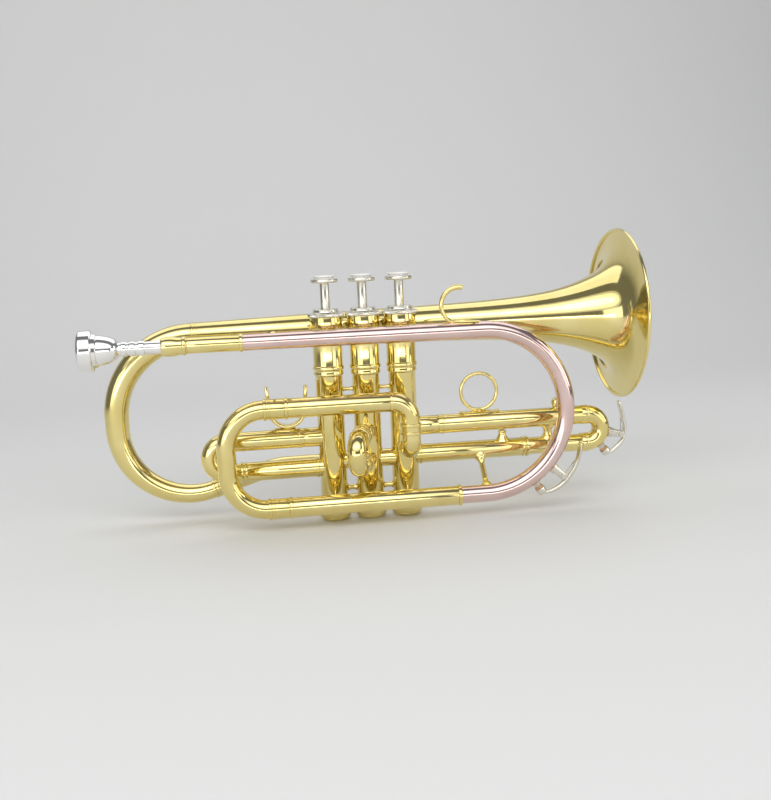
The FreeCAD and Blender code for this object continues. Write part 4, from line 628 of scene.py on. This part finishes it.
def joint_rings():
    """The rings that cover the joints of the fixed tubes."""
    lead = (0, LEAD_Y, LEAD_Z)
    drop = (DROP_X, LEAD_Y, 0)
    stands_for("tube_ferrules", [
        bead_ring("rose", -84.7, -82.3, 5.32, 6.1, lead),
        bead_ring("lower", LOWER_JOINT_X, 60.1, 6.0, 7.4, (0, LEAD_Y, LOW_Z)),
        bead_ring("elbow", ELBOW_X, 14.4, 6.4, 7.2, (0, LEAD_Y, HIGH_Z)),
        bead_ring("drop_high", 66.7, 68.9, 6.4, 7.3, drop, Z_AXIS),
        bead_ring("drop_low", 61.1, 63.3, 6.4, 7.3, drop, Z_AXIS)])


# ---------------- valves

def valve_casings():
    """Each casing as one turned tube. Its ports are under the tubes that enter it and are not cut."""
    for valve, x in VALVE_X.items():
        outline = [(2.3, 8.45), (101.5, 8.45), (101.5, 8.75), (138.3, 8.75), (138.3, 9.4), (142.0, 9.4),
                   (142.0, 10.95), (134.3, 10.95), (133.7, 10.1)]
        outline += [(108.6, 10.1), (108.0, 10.8), (106.2, 10.85), (105.6, 10.2), (104.2, 10.2), (103.6, 10.4),
                    (102.2, 10.4), (101.6, 9.5), (2.3, 9.5)]
        stands_for(f"valve_casing_{valve}", [lathe("casing", outline, (x, 0, 0), Z_AXIS, steps=128)])


def caps():
    """The knurled top and bottom caps."""
    tops, bottoms = [], []
    for x in VALVE_X.values():
        at = (x, 0, 0)
        hub = [Vector(p) for p in ((144.4, 11.7), (144.7, 10.2), (145.2, 9.1), (146.0, 8.75))]
        outline = [(138.3, 9.38), (142.0, 9.38), (142.0, 12.0), (142.3, 12.35), (143.2, 12.45), (144.1, 12.3)]
        outline += smooth_curve(hub, 4)
        outline += [(146.9, 8.7), (147.4, 8.2), (147.4, 3.3), (139.85, 3.3), (139.85, 8.6), (138.3, 8.6)]
        tops.append(lathe("top", outline, at, Z_AXIS, steps=192, ribs=(142.2, 144.2, 0.22, 12.2)))
        outline = [(0.0, 0.0), (0.0, 8.6), (0.35, 9.3), (1.3, 9.5), (1.7, 10.1), (2.1, 10.4), (6.6, 10.4),
                   (7.0, 10.1), (7.4, 10.2), (8.0, 9.9), (8.0, 9.5), (2.0, 9.5), (2.0, 0.0)]
        bottoms.append(lathe("bottom", outline, at, Z_AXIS, steps=192, ribs=(2.0, 6.7, 0.2, 10.2)))
    stands_for("top_caps", tops)
    stands_for("bottom_caps", bottoms)


def valve_tops():
    """Stem, finger button and pearl of each valve."""
    for valve, x in VALVE_X.items():
        at = (x, 0, 0)
        stem = [(135.0, 0.0), (135.0, 2.2), (138.0, 2.2), (138.0, 3.2), (164.5, 3.2), (164.5, 1.8),
                (166.1, 1.8), (166.1, 0.0)]
        stands_for(f"stem_{valve}", [lathe("stem", stem, at, Z_AXIS)])
        edge = [Vector(p) for p in ((165.1, 8.5), (165.2, 9.0), (165.7, 9.35), (166.4, 9.45), (167.1, 9.35),
                                    (167.6, 9.0), (167.7, 8.5))]
        button = [(164.5, 1.82), (164.5, 3.5), (164.9, 4.4), (165.0, 6.0)] + smooth_curve(edge, 4)
        button += [(167.7, 6.75), (166.5, 6.75), (166.5, 0.0), (166.12, 0.0), (166.12, 1.82)]
        stands_for(f"finger_button_{valve}", [lathe("button", button, at, Z_AXIS, steps=128)])
        crown = [Vector(p) for p in ((169.5, 7.85), (169.95, 7.75), (170.25, 7.2), (170.45, 5.0),
                                     (170.55, 2.5), (170.6, 0.0))]
        pearl = [(166.5, 0.0), (166.5, 6.7), (167.9, 6.6), (168.8, 7.0), (169.1, 7.7)]
        pearl += smooth_curve(crown, 5)
        stands_for(f"pearl_{valve}", [lathe("pearl", pearl, at, Z_AXIS, edge=0.05, steps=128)])


def links():
    """The air tubes from casing to casing and the studs that tie the casings together."""
    tubes = []
    for left, right in ((1, 2), (2, 3)):
        stops = (VALVE_X[left] + AT_CASING, VALVE_X[left] + PITCH / 2, VALVE_X[right] - AT_CASING)
        route = [Vector((x, 0, LINK_Z)) for x in stops]
        tubes.append(pipe("link", route, INNER_R, BORE, seat_start=seat_on(left), seat_end=seat_on(right)))
    stands_for("intervalve_tubes", tubes)
    studs = []
    for height, radius, casing in ((139.6, 1.3, 10.7), (91.5, 1.7, CASING_WALL_MIDDLE),
                                   (21.5, 2.4, CASING_WALL_MIDDLE)):
        for left in (1, 2):
            centre = VALVE_X[left] + PITCH / 2
            reach = PITCH / 2 - casing + 0.5
            route = [Vector((centre + reach * k / 8, 0, height)) for k in range(-8, 9)]

            def flare(share, radius=radius):
                return radius * (0.72 + 0.8 * abs(2 * share - 1) ** 3)

            studs.append(pipe("stud", route, flare, steps=40, seat_start=((VALVE_X[left], 0, 0), casing),
                              seat_end=((VALVE_X[left + 1], 0, 0), casing)))
    stands_for("casing_studs", studs)


# ---------------- valve slides

def turned_about(valve, degrees, objects):
    """Turns pieces made outwards along +X so that they point out of their valve."""
    turn = Matrix.Rotation(math.radians(degrees), 4, "Z")
    place = Matrix.Translation(Vector((VALVE_X[valve] * MM, 0, 0))) @ turn
    for obj in objects:
        obj.data.transform(place)
    return objects


def outward_tube(name, end, z, outer, inner):
    """A tube from the casing's wall at the origin out along +X."""
    route = [Vector((AT_CASING, 0, z)), Vector((14.0, 0, z)), Vector((end - EDGE, 0, z)), Vector((end, 0, z))]

    def radius(share):
        return outer - (EDGE if share > 0.9999 else 0)

    return pipe(name, route, radius, inner, steps=72, seat_start=((0, 0, 0), CASING_WALL_MIDDLE))


def slide(name, valve, degrees, low, high, knuckle, inner_end, sleeve_end, leg, bow):
    """A slide whose upper leg slides over an inner tube and whose lower leg slides in a sleeve."""
    upper, lower = (0, 0, high), (0, 0, low)
    fixed = [outward_tube("knuckle", knuckle, high, SLEEVE_R, INNER_R),
             straight_tube("inner", 10.0, inner_end, 0, high, INNER_R, BORE),
             outward_tube("sleeve", sleeve_end, low, SLEEVE_R, SLEEVE_BORE),
             bead_ring("end_ring", sleeve_end - 4.4, sleeve_end - 2.9, SLEEVE_R, 7.1, lower),
             bead_ring("end_ring", sleeve_end - 1.6, sleeve_end + 0.03, SLEEVE_R, 7.3, lower),
             bead_ring("root_ring", 10.2, 11.9, SLEEVE_R, 7.4, lower)]
    stands_for(f"{name}_slide_tubes", turned_about(valve, degrees, fixed))
    start = knuckle + 0.3
    radius = (high - low) / 2
    route = arc((bow, 0, (high + low) / 2), radius, 90, -180, 3.0)
    moving = [straight_tube("over", start, bow, 0, high, SLEEVE_R, SLEEVE_BORE),
              bead_ring("over_ring", start + 2.0, start + 3.8, SLEEVE_R, 7.15, upper),
              straight_tube("leg", leg, bow, 0, low, INNER_R, BORE),
              pipe("bow", route, BOW_R, BORE, steps=72)]
    for z in (low, high):
        at = (0, 0, z)
        moving.append(straight_tube("ferrule", bow - 5.0, bow, 0, z, 6.85, INNER_R))
        moving.append(bead_ring("ferrule_bead", bow - 1.2, bow + 0.1, 6.7, 7.0, at))
    stands_for(f"{name}_slide_crook", turned_about(valve, degrees, moving))


def second_slide():
    """The short slide that comes out sideways, with both legs in sleeves."""
    low, high, sleeve, bow = 42.8, 62.1, 24.0, 34.0
    fixed, moving = [], []
    for z in (low, high):
        at = (0, 0, z)
        fixed.append(outward_tube("sleeve", sleeve, z, SLEEVE_R, SLEEVE_BORE))
        fixed.append(bead_ring("ring", sleeve - 2.2, sleeve + 0.03, SLEEVE_R, 7.3, at))
        moving.append(straight_tube("leg", 11.0, bow, 0, z, INNER_R, BORE))
        moving.append(straight_tube("ferrule", sleeve + 0.3, bow - 2, 0, z, SLEEVE_R, INNER_R))
        moving.append(bead_ring("bead", bow - 2.2, bow - 0.6, INNER_R, 6.9, at))
    route = arc((bow, 0, (high + low) / 2), (high - low) / 2, 90, -180, 3.0)
    moving.append(pipe("bow", route, BOW_R, BORE, steps=72))
    stands_for("second_slide_tubes", turned_about(2, 253, fixed))
    stands_for("second_slide_crook", turned_about(2, 253, moving))


# ---------------- bell, bow and tail

BELL_STATIONS = ((BELL_X, 8.9), (0.0, 12.0), (80.0, 14.0), (125.0, 17.0), (150.0, 21.3), (168.0, 27.4),
                 (181.0, 35.0), (188.0, 44.5), (191.2, 60.7))


def spline_points(knots, steps):
    """A natural cubic spline through knots, with chord length as its parameter."""
    spans = [(b - a).length for a, b in zip(knots, knots[1:])]
    count = len(knots)
    lower, diagonal, upper, right = [0.0] * count, [1.0] * count, [0.0] * count, [knots[0] * 0] * count
    for i in range(1, count - 1):
        lower[i] = spans[i - 1]
        diagonal[i] = 2 * (spans[i - 1] + spans[i])
        upper[i] = spans[i]
        right[i] = 6 * ((knots[i + 1] - knots[i]) / spans[i] - (knots[i] - knots[i - 1]) / spans[i - 1])
    for i in range(1, count):
        share = lower[i] / diagonal[i - 1]
        diagonal[i] -= share * upper[i - 1]
        right[i] = right[i] - share * right[i - 1]
    bends = [knots[0] * 0] * count
    for i in range(count - 2, 0, -1):
        bends[i] = (right[i] - upper[i] * bends[i + 1]) / diagonal[i]
    points = []
    for i, span in enumerate(spans):
        for k in range(steps):
            t = span * k / steps
            rest = span - t
            points.append(bends[i] * rest ** 3 / (6 * span) + bends[i + 1] * t ** 3 / (6 * span)
                          + (knots[i] / span - bends[i] * span / 6) * rest
                          + (knots[i + 1] / span - bends[i + 1] * span / 6) * t)
    points.append(knots[-1])
    return points


def bell():
    """The bell as a turned shell, and the wire rolled into its rim."""
    outside = spline_points([Vector(p) for p in BELL_STATIONS], 14)
    inside = []
    for i, point in enumerate(outside):
        along = outside[min(i + 1, len(outside) - 1)] - outside[max(i - 1, 0)]
        square = Vector((along.y, -along.x)).normalized()
        inside.append(point + square * 0.5)
    at = (0, BELL_Y, BELL_Z)
    outline = outside + list(reversed(inside))
    stands_for("bell", [lathe("bell", outline, at, edge=0.0, steps=192)])
    stands_for("bell_rim_wire", [lathe("rim", circle(190.9, 60.8, 1.2), at, edge=0.0, steps=192)])


def bow_route():
    """The bow's centreline: two bends with a short straight between, ending past level."""
    top, low, side = 55.3, 49.3, 8.0
    base = BELL_Z - top - side - low
    upper = arc((BELL_X, BELL_Y, BELL_Z - top), top, 90, 90, 2.5)
    lower = arc((BELL_X - top + low, BELL_Y, base + low), low, 180, 90 + BOW_LEAN, 2.5)
    return upper + lower


def bell_bow():
    """The bow, the tail into the first valve, and the rings over the joints at either end of the bow."""
    def outer(share):
        return 8.9 - 2.65 * share * share

    def inner(share):
        return outer(share) - 0.5

    route = bow_route()
    stands_for("bell_bow", [pipe("bow", route, outer, inner, steps=80)])
    end = route[-1]
    lean = math.radians(BOW_LEAN)
    heading = Vector((math.cos(lean), 0, math.sin(lean)))
    level = end + heading * ((TAIL_Z - end.z) / heading.z)
    tail = rounded([end, level, (-PITCH, BELL_Y, TAIL_Z), (-PITCH, AT_CASING, TAIL_Z)], [60.0, 13.0])
    stands_for("bell_tail", [pipe("tail", tail, 6.25, 5.85, steps=72, seat_end=seat_on(1))])
    stands_for("bow_ferrules", [
        bead_ring("bell_joint", 0.0, 1.8, 8.8, 9.35, (BELL_X, BELL_Y, BELL_Z)),
        bead_ring("bell_joint", 2.6, 4.0, 8.8, 9.3, (BELL_X, BELL_Y, BELL_Z)),
        bead_ring("tail_joint", 0.0, 1.8, 6.2, 7.0, end, heading),
        bead_ring("tail_joint", 2.4, 4.2, 6.2, 6.85, end, heading)])


# ---------------- soldered fittings and braces

def finger_ring():
    """The third slide's ring: round wire on a foot whose wing tips stand a little off the tube."""
    x, tube = PITCH + 54.3, THIRD_HIGH
    bottom = tube + SLEEVE_R + PAD
    ring = lathe("ring", circle(0.0, 12.9, 1.3), (x, 0, bottom + 12.9 + 0.7), Y_AXIS, edge=0.0, steps=128)
    solder = lathe("solder", [(0.0, 0.0), (0.0, 4.2), (0.5, 3.2), (1.1, 2.5), (1.7, 1.7), (1.7, 0.0)],
                   (x, 0, bottom - 0.3), Z_AXIS, edge=0.1)
    foot = saddle_foot("foot", SLEEVE_R, x - 14.5, x + 14.5, 0, tube, 74, lift=0.9)
    stands_for("finger_ring", [ring, solder, foot])


def thumb_saddle():
    """The first slide's open U of strip for the thumb."""
    x, tube = -PITCH - 30.0, FIRST_HIGH
    bottom = tube + SLEEVE_R + PAD
    middle, prong, lean = 12.1, 15.9, 1.36
    high = bottom + 13.0
    route = [Vector((x - middle - lean * k / 6, 0, high + prong * k / 6)) for k in range(6, 0, -1)]
    route += arc((x, 0, high), middle, 180, 180, 4.0)
    route += [Vector((x + middle + lean * k / 6, 0, high + prong * k / 6)) for k in range(1, 7)]

    def wide(share):
        return 9.0 - 1.8 * abs(2 * share - 1) ** 6

    strip = ribbon("strip", route, wide, 2.8, square=0.6)
    solder = lathe("solder", [(0.0, 0.0), (0.0, 4.4), (0.5, 3.7), (1.2, 3.2), (1.9, 2.9), (1.9, 0.0)],
                   (x, 0, bottom - 0.4), Z_AXIS, edge=0.1)
    foot = saddle_foot("foot", SLEEVE_R, x - 10.5, x + 5.5, 0, tube, 74)
    stands_for("thumb_saddle", [strip, solder, foot])


def finger_hook():
    """The little finger's hook: a rod that thickens to its cut end, on a long foot."""
    x, z = 62.2, 147.0
    route = arc((x, LEAD_Y, z), 12.0, 77, 188, 3.0)
    start = (route[1] - route[0]).normalized()
    route.insert(1, route[0] + start * 0.25)

    def radius(share):
        return (1.9 if share > 0.002 else 1.6) - 0.75 * share

    rod = pipe("rod", route, radius, steps=40)
    foot = saddle_foot("foot", 5.93, x - 4.6, x + 14.4, LEAD_Y, LEAD_Z, 80)
    crest = ((-2.6, 6.6), (2.0, 6.9), (8.0, 6.5))
    spine = [Vector((x + along, LEAD_Y, LEAD_Z + high)) for along, high in crest]
    root = ribbon("root", spine, lambda share: 3.4 - 1.6 * share, 1.7)
    stands_for("finger_hook", [rod, foot, root])


def third_slide_stay():
    """A waisted column between the crook's legs and a round knob on the upper leg."""
    x, low, high = PITCH + 104.1, THIRD_LOW, THIRD_HIGH
    under, ball_r = 0.15, 3.9
    route = [Vector((x, 0, low + INNER_R + (high - SLEEVE_R - low - INNER_R) * k / 16)) for k in range(17)]
    column = pipe("column", route, lambda share: 3.1 + 2.0 * abs(2 * share - 1) ** 3, steps=56,
                  seat_start=((x, 0, low), INNER_R - under, X_AXIS),
                  seat_end=((x, 0, high), SLEEVE_R - under, X_AXIS))
    angles = [math.radians(degrees) for degrees in range(-44, 90, 8)]
    ball = [Vector((ball_r * math.sin(a) + 3.3, ball_r * math.cos(a))) for a in angles]
    knob = lathe("knob", [(-0.6, 0.0), (-0.6, 3.4), (-0.1, 3.0)] + ball + [(7.2, 0.0)],
                 (PITCH + 111.0, 0, high + SLEEVE_R), Z_AXIS, edge=0.08, steps=72)
    stands_for("third_slide_stay", [column, knob])


# How far a strut's ends go in under a tube's skin.
UNDER = 0.2


def strut(start, end, start_seat, end_seat, rod_r, foot_r, foot_long):
    """A rod between two tubes, with a concave flare to a foot that is shaped to each."""
    length = (end - start).length
    route = [start + (end - start) * k / 40 for k in range(41)]

    def radius(share):
        nearest = min(share, 1 - share) * length
        return rod_r + (foot_r - rod_r) * max(0.0, 1 - nearest / foot_long) ** 2.2

    return pipe("strut", route, radius, steps=40, seat_start=start_seat, seat_end=end_seat)


def level_strut(x, z, ends, seats, sizes):
    """A strut square across the horn, from one y to another."""
    start, end = (Vector((x, y, z)) for y in ends)
    return strut(start, end, *seats, *sizes)


def lead_seat(z, radius):
    return (0, LEAD_Y, z), radius - UNDER, X_AXIS


def bell_seat(radius):
    return (0, BELL_Y, BELL_Z), radius - UNDER, X_AXIS


def bell_side(radius, z):
    """Where the bell's near side is at a height."""
    return BELL_Y - math.sqrt(radius ** 2 - (BELL_Z - z) ** 2)


def valve_struts(x, lead_r, bell_r):
    """The struts that tie one outer valve to the leadpipe, the bell and the lower tube."""
    chamber, casing = ((x, 0, 0), CHAMBER_R - UNDER), ((x, 0, 0), CASING_R - UNDER)
    z = LEAD_Z - 2
    return [
        level_strut(x, LEAD_Z, (LEAD_Y + lead_r, -CHAMBER_R), (lead_seat(LEAD_Z, lead_r), chamber),
                    (1.9, 3.4, 2.5)),
        level_strut(x, z, (CHAMBER_R, bell_side(bell_r, z)), (chamber, bell_seat(bell_r)), (3.6, 3.9, 1.0)),
        level_strut(x, LOW_Z, (LEAD_Y + SLEEVE_R, -CASING_R), (lead_seat(LOW_Z, SLEEVE_R), casing),
                    (1.9, 3.4, 2.5))]


def braces():
    """The struts between tubes, bell and valves, and the post between the third slide's tubes."""
    pieces = []
    for x, lead_r, bell_r in ((-62.0, 5.39, 10.6), (67.0, 5.95, 13.6)):
        ends = (LEAD_Y + lead_r, bell_side(bell_r, LEAD_Z))
        seats = (lead_seat(LEAD_Z, lead_r), bell_seat(bell_r))
        pieces.append(level_strut(x, LEAD_Z, ends, seats, (1.9, 4.4, 4.5)))
    pieces += valve_struts(-PITCH, 5.55, 11.4) + valve_struts(PITCH, 5.77, 12.6)
    third = Vector((LEAD_BEND_X, 0, THIRD_LOW))
    lead = Vector((LEAD_BEND_X, LEAD_Y, LOW_Z))
    way = (lead - third).normalized()
    pieces.append(strut(third + way * SLEEVE_R, lead - way * 6.0, (third, SLEEVE_R - UNDER, X_AXIS),
                        (lead, 6.0 - UNDER, X_AXIS), 1.9, 4.6, 6.0))
    low, high = 47.4, 54.6
    post = [(0.0, 0.0), (0.0, 5.5), (1.4, 4.6), (3.2, 3.4), (4.6, 2.7), (5.8, 2.5), (6.4, 2.9), (7.0, 2.9),
            (7.6, 2.3), (high - low, 2.2), (high - low, 0.0)]
    pieces.append(lathe("post", post, (PITCH + 70.6, 0, low), Z_AXIS, edge=0.08, steps=56))
    stands_for("braces", pieces)


# ---------------- water keys

# A path's stations: degrees about the bend's centre, the lever's back outside the tube, its thickness.
KEYS = {
    "lead": {"centre": (LEAD_BEND_X, LEAD_Y, 72.85), "surface": 62.65, "pivot": -42.0, "pivot_out": 9.2,
             "cork": -56.5,
             "path": ((-56.5, 9.4, 2.0), (-53.0, 12.2, 2.8), (-48.0, 14.4, 3.2), (-42.0, 15.2, 3.3),
                      (-36.0, 14.8, 3.2), (-30.5, 13.6, 2.6), (-25.5, 11.7, 2.0), (-20.5, 9.4, 1.4))},
    "third": {"centre": (159.0, 0.0, 52.3), "surface": 16.5, "pivot": -13.0, "pivot_out": 8.8, "cork": -52.0,
              "path": ((-52.0, 8.9, 2.0), (-43.0, 10.9, 2.8), (-32.0, 12.4, 3.2), (-20.0, 13.2, 2.2),
                       (-9.0, 13.3, 1.9), (5.0, 12.9, 2.6), (18.0, 12.7, 2.4), (29.0, 13.2, 2.0),
                       (38.0, 14.2, 1.4))},
}
CHEEK_TOP_R = 2.5


def key_point(key, out, degrees):
    """A point in the key's plane: so far outside the tube, at an angle about the bend's centre."""
    angle = math.radians(degrees)
    radius = KEYS[key]["surface"] + out
    return Vector(KEYS[key]["centre"]) + Vector((radius * math.cos(angle), 0.0, radius * math.sin(angle)))


def away(degrees):
    return Vector((math.cos(math.radians(degrees)), 0, math.sin(math.radians(degrees))))


def over_drain(key, name, outline, **settings):
    """A piece turned about the drain's axis, with its outline measured out from the tube's skin."""
    cork = KEYS[key]["cork"]
    return lathe(name, outline, key_point(key, 0, cork), away(cork), **settings)


def key_saddle(key):
    """Two round-topped cheeks on a floor, and the drain's nipple."""
    pivot = KEYS[key]["pivot"]
    tall = KEYS[key]["pivot_out"] + CHEEK_TOP_R + 0.6

    def cheek_wide(share):
        left = (1 - share) * tall
        top = 2 * math.sqrt(max(CHEEK_TOP_R ** 2 - max(CHEEK_TOP_R - left, 0) ** 2, 0.3))
        return min(top, 7.4 - 1.8 * share)

    route = [key_point(key, -0.6 + tall * k / 24, pivot) for k in range(25)]
    pieces = []
    for y in (2.7, -2.7):
        beside = [point + Vector((0, y, 0)) for point in route]
        pieces.append(ribbon("cheek", beside, 2.2, cheek_wide, end=0.2, square=0.85))
    floor_route = [key_point(key, -0.7 + 3.6 * k / 4, pivot) for k in range(5)]
    pieces.append(ribbon("floor", floor_route, 7.0, lambda share: 7.8 - 1.4 * share, end=0.4, square=0.8))
    nipple = [(-0.7, 1.2), (-0.7, 3.4), (0.2, 3.2), (0.7, 2.6), (2.4, 2.4), (2.4, 1.2)]
    pieces.append(over_drain(key, "nipple", nipple, edge=0.1, steps=48))
    stands_for(f"{key}_key_saddle", pieces)


def lever_wide(share):
    """The lever's width: narrow at the cup, wide at the finger plate and rounded at its tip."""
    plate = max(0.0, (share - 0.7) / 0.3)
    tip = max(0.0, (share - 0.94) / 0.06)
    neck = max(0.0, 1 - share / 0.2)
    return 4.4 + 2.4 * min(1.0, plate * 1.6) - 2.6 * tip ** 2 - 1.0 * neck


def lever_arm(key):
    """The lever's curved strip, as thick at each station as the key's path says."""
    stations = spline_points([Vector(station) for station in KEYS[key]["path"]], 6)
    middle = [key_point(key, out - thick / 2, angle) for angle, out, thick in stations]
    lengths = lengths_along(middle)
    shares = [length / lengths[-1] for length in lengths]

    def thickness(share):
        nearest = min(range(len(shares)), key=lambda i: abs(shares[i] - share))
        return stations[nearest][2]

    return ribbon("arm", middle, lever_wide, thickness, square=0.6)


def key_lever(key):
    """The rocking lever: its arm, the hub on the screw, the web between them and the cork's cup."""
    pivot, out = KEYS[key]["pivot"], KEYS[key]["pivot_out"]
    eye = [(-1.5, 1.05), (-1.5, 2.4), (1.5, 2.4), (1.5, 1.05)]
    hub = lathe("hub", eye, key_point(key, out, pivot), Y_AXIS, edge=0.2, steps=56)
    web_route = [key_point(key, out + 1.2 + (12.6 - out - 1.2) * k / 4, pivot) for k in range(5)]
    web = ribbon("web", web_route, 3.0, lambda share: 4.6 + 1.6 * share, end=0.1)
    low, high = 4.3, KEYS[key]["path"][0][1]
    dome = [Vector(p) for p in ((low + 1.0, 3.5), (high - 1.4, 3.3), (high - 0.5, 2.6), (high, 1.2),
                                (high + 0.05, 0.0))]
    cup = [(low + 1.2, 0.0), (low + 1.2, 2.93), (low, 2.95), (low, 3.55)] + smooth_curve(dome, 5)
    holder = over_drain(key, "cup", cup, edge=0.1, steps=56)
    stands_for(f"{key}_water_key", [lever_arm(key), hub, web, holder])


def key_cork(key):
    cork = [(2.5, 0.0), (2.5, 2.5), (2.9, 2.88), (5.4, 2.9), (5.45, 2.6), (5.45, 0.0)]
    stands_for(f"{key}_key_cork", [over_drain(key, "cork", cork, steps=56)])


# ---------------- floor, light and camera

def floor():
    """A pale sweep: flat under the horn, then curving up behind it."""
    half, back, rise, bend = 3500.0, 1300.0, 2600.0, 700.0
    section = [(-3500.0, 0.0), (back - bend, 0.0)]
    for i in range(1, 13):
        angle = math.radians(90 * i / 12)
        section.append((back - bend + bend * math.sin(angle), bend - bend * math.cos(angle)))
    section.append((back, rise))
    points = [Vector((x, y, z - 0.15)) for y, z in section for x in (-half, half)]
    faces = [(2 * i, 2 * i + 1, 2 * i + 3, 2 * i + 2) for i in range(len(section) - 1)]
    sweep = make_object("studio_sweep", points, faces)
    surface = new_material("studio_floor", {"Roughness": 0.7, "Base Color": (0.78, 0.78, 0.77, 1)})[0]
    sweep.data.materials.append(surface)


def softbox(name, place, target, width, height, power, shape="RECTANGLE"):
    """An area light at a place, turned towards a target."""
    data = bpy.data.lights.new(name, "AREA")
    data.shape = shape
    data.size = width
    data.size_y = height
    data.energy = power
    obj = bpy.data.objects.new(name, data)
    obj.location = place
    obj.rotation_euler = (Vector(target) - Vector(place)).to_track_quat("-Z", "Y").to_euler()
    bpy.context.scene.collection.objects.link(obj)


def lights():
    """Nested soft lights in front, one above, panels at the sides and a dim room."""
    for share, (width, height, power) in enumerate(((3.2, 1.35, 6.5), (2.5, 1.0, 4.5), (1.6, 0.5, 2.5))):
        place = (-0.2, -1.0 + 0.03 * share, 1.02 - 0.03 * share)
        softbox(f"front_{share}", place, (0.0, 0.0, 0.08), width, height, power, "ELLIPSE")
    softbox("top", (0.05, 0.55, 1.35), (0.0, 0.0, 0.05), 2.4, 1.1, 9)
    softbox("right", (1.3, -0.4, 0.5), (0.05, 0.0, 0.08), 0.4, 0.8, 2)
    softbox("left_panel", (-0.95, -1.0, 0.26), (0.0, 0.0, 0.1), 1.0, 0.5, 2.2)
    softbox("right_panel", (0.95, -0.9, 0.26), (0.0, 0.0, 0.1), 0.6, 0.5, 1.3)
    softbox("low_front", (-0.2, -1.3, 0.10), (0.0, 0.0, 0.1), 1.8, 0.14, 2.5)
    world = bpy.data.worlds.new("studio")
    world.use_nodes = True
    background = world.node_tree.nodes["Background"]
    background.inputs["Color"].default_value = (0.93, 0.96, 1.0, 1)
    background.inputs["Strength"].default_value = 0.2
    bpy.context.scene.world = world


def camera():
    """The photograph's viewpoint: a little to the player's side of square, looking slightly down."""
    heading, pitch, roll = (math.radians(d) for d in (7.53, 8.99, -2.41))
    level = math.cos(pitch)
    forward = Vector((math.sin(heading) * level, math.cos(heading) * level, -math.sin(pitch)))
    right = Vector((math.cos(heading), -math.sin(heading), 0))
    up = right.cross(forward)
    rolled_right = right * math.cos(roll) + up * math.sin(roll)
    rolled_up = up * math.cos(roll) - right * math.sin(roll)
    data = bpy.data.cameras.new("camera")
    data.sensor_fit = "HORIZONTAL"
    data.sensor_width = 36.0
    data.lens = 45.1
    data.clip_start = 0.01
    obj = bpy.data.objects.new("camera", data)
    axes = Matrix((rolled_right, rolled_up, -forward)).transposed()
    obj.matrix_world = Matrix.Translation((-0.07412, -0.66075, 0.18734)) @ axes.to_4x4()
    bpy.context.scene.collection.objects.link(obj)
    bpy.context.scene.camera = obj


# ---------------- the whole scene

mouthpiece()
receiver()
leadpipe()
tuning_tubes()
tuning_crook()
joint_rings()
valve_casings()
caps()
valve_tops()
links()
slide("first", 1, 180, low=37.6, high=FIRST_HIGH, knuckle=19.4, inner_end=66.0, sleeve_end=64.0, leg=15.0,
      bow=73.4)
slide("third", 3, 0, low=THIRD_LOW, high=THIRD_HIGH, knuckle=24.1, inner_end=95.0, sleeve_end=88.8, leg=20.0,
      bow=133.5)
second_slide()
bell()
bell_bow()
finger_ring()
thumb_saddle()
finger_hook()
third_slide_stay()
braces()
for key in KEYS:
    key_saddle(key)
    key_lever(key)
    key_cork(key)
for node, obj in frame["nodes"].items():
    dress(obj, SLOT_OF[node])
floor()
lights()
camera()
bpy.context.scene.view_settings.view_transform = "Standard"
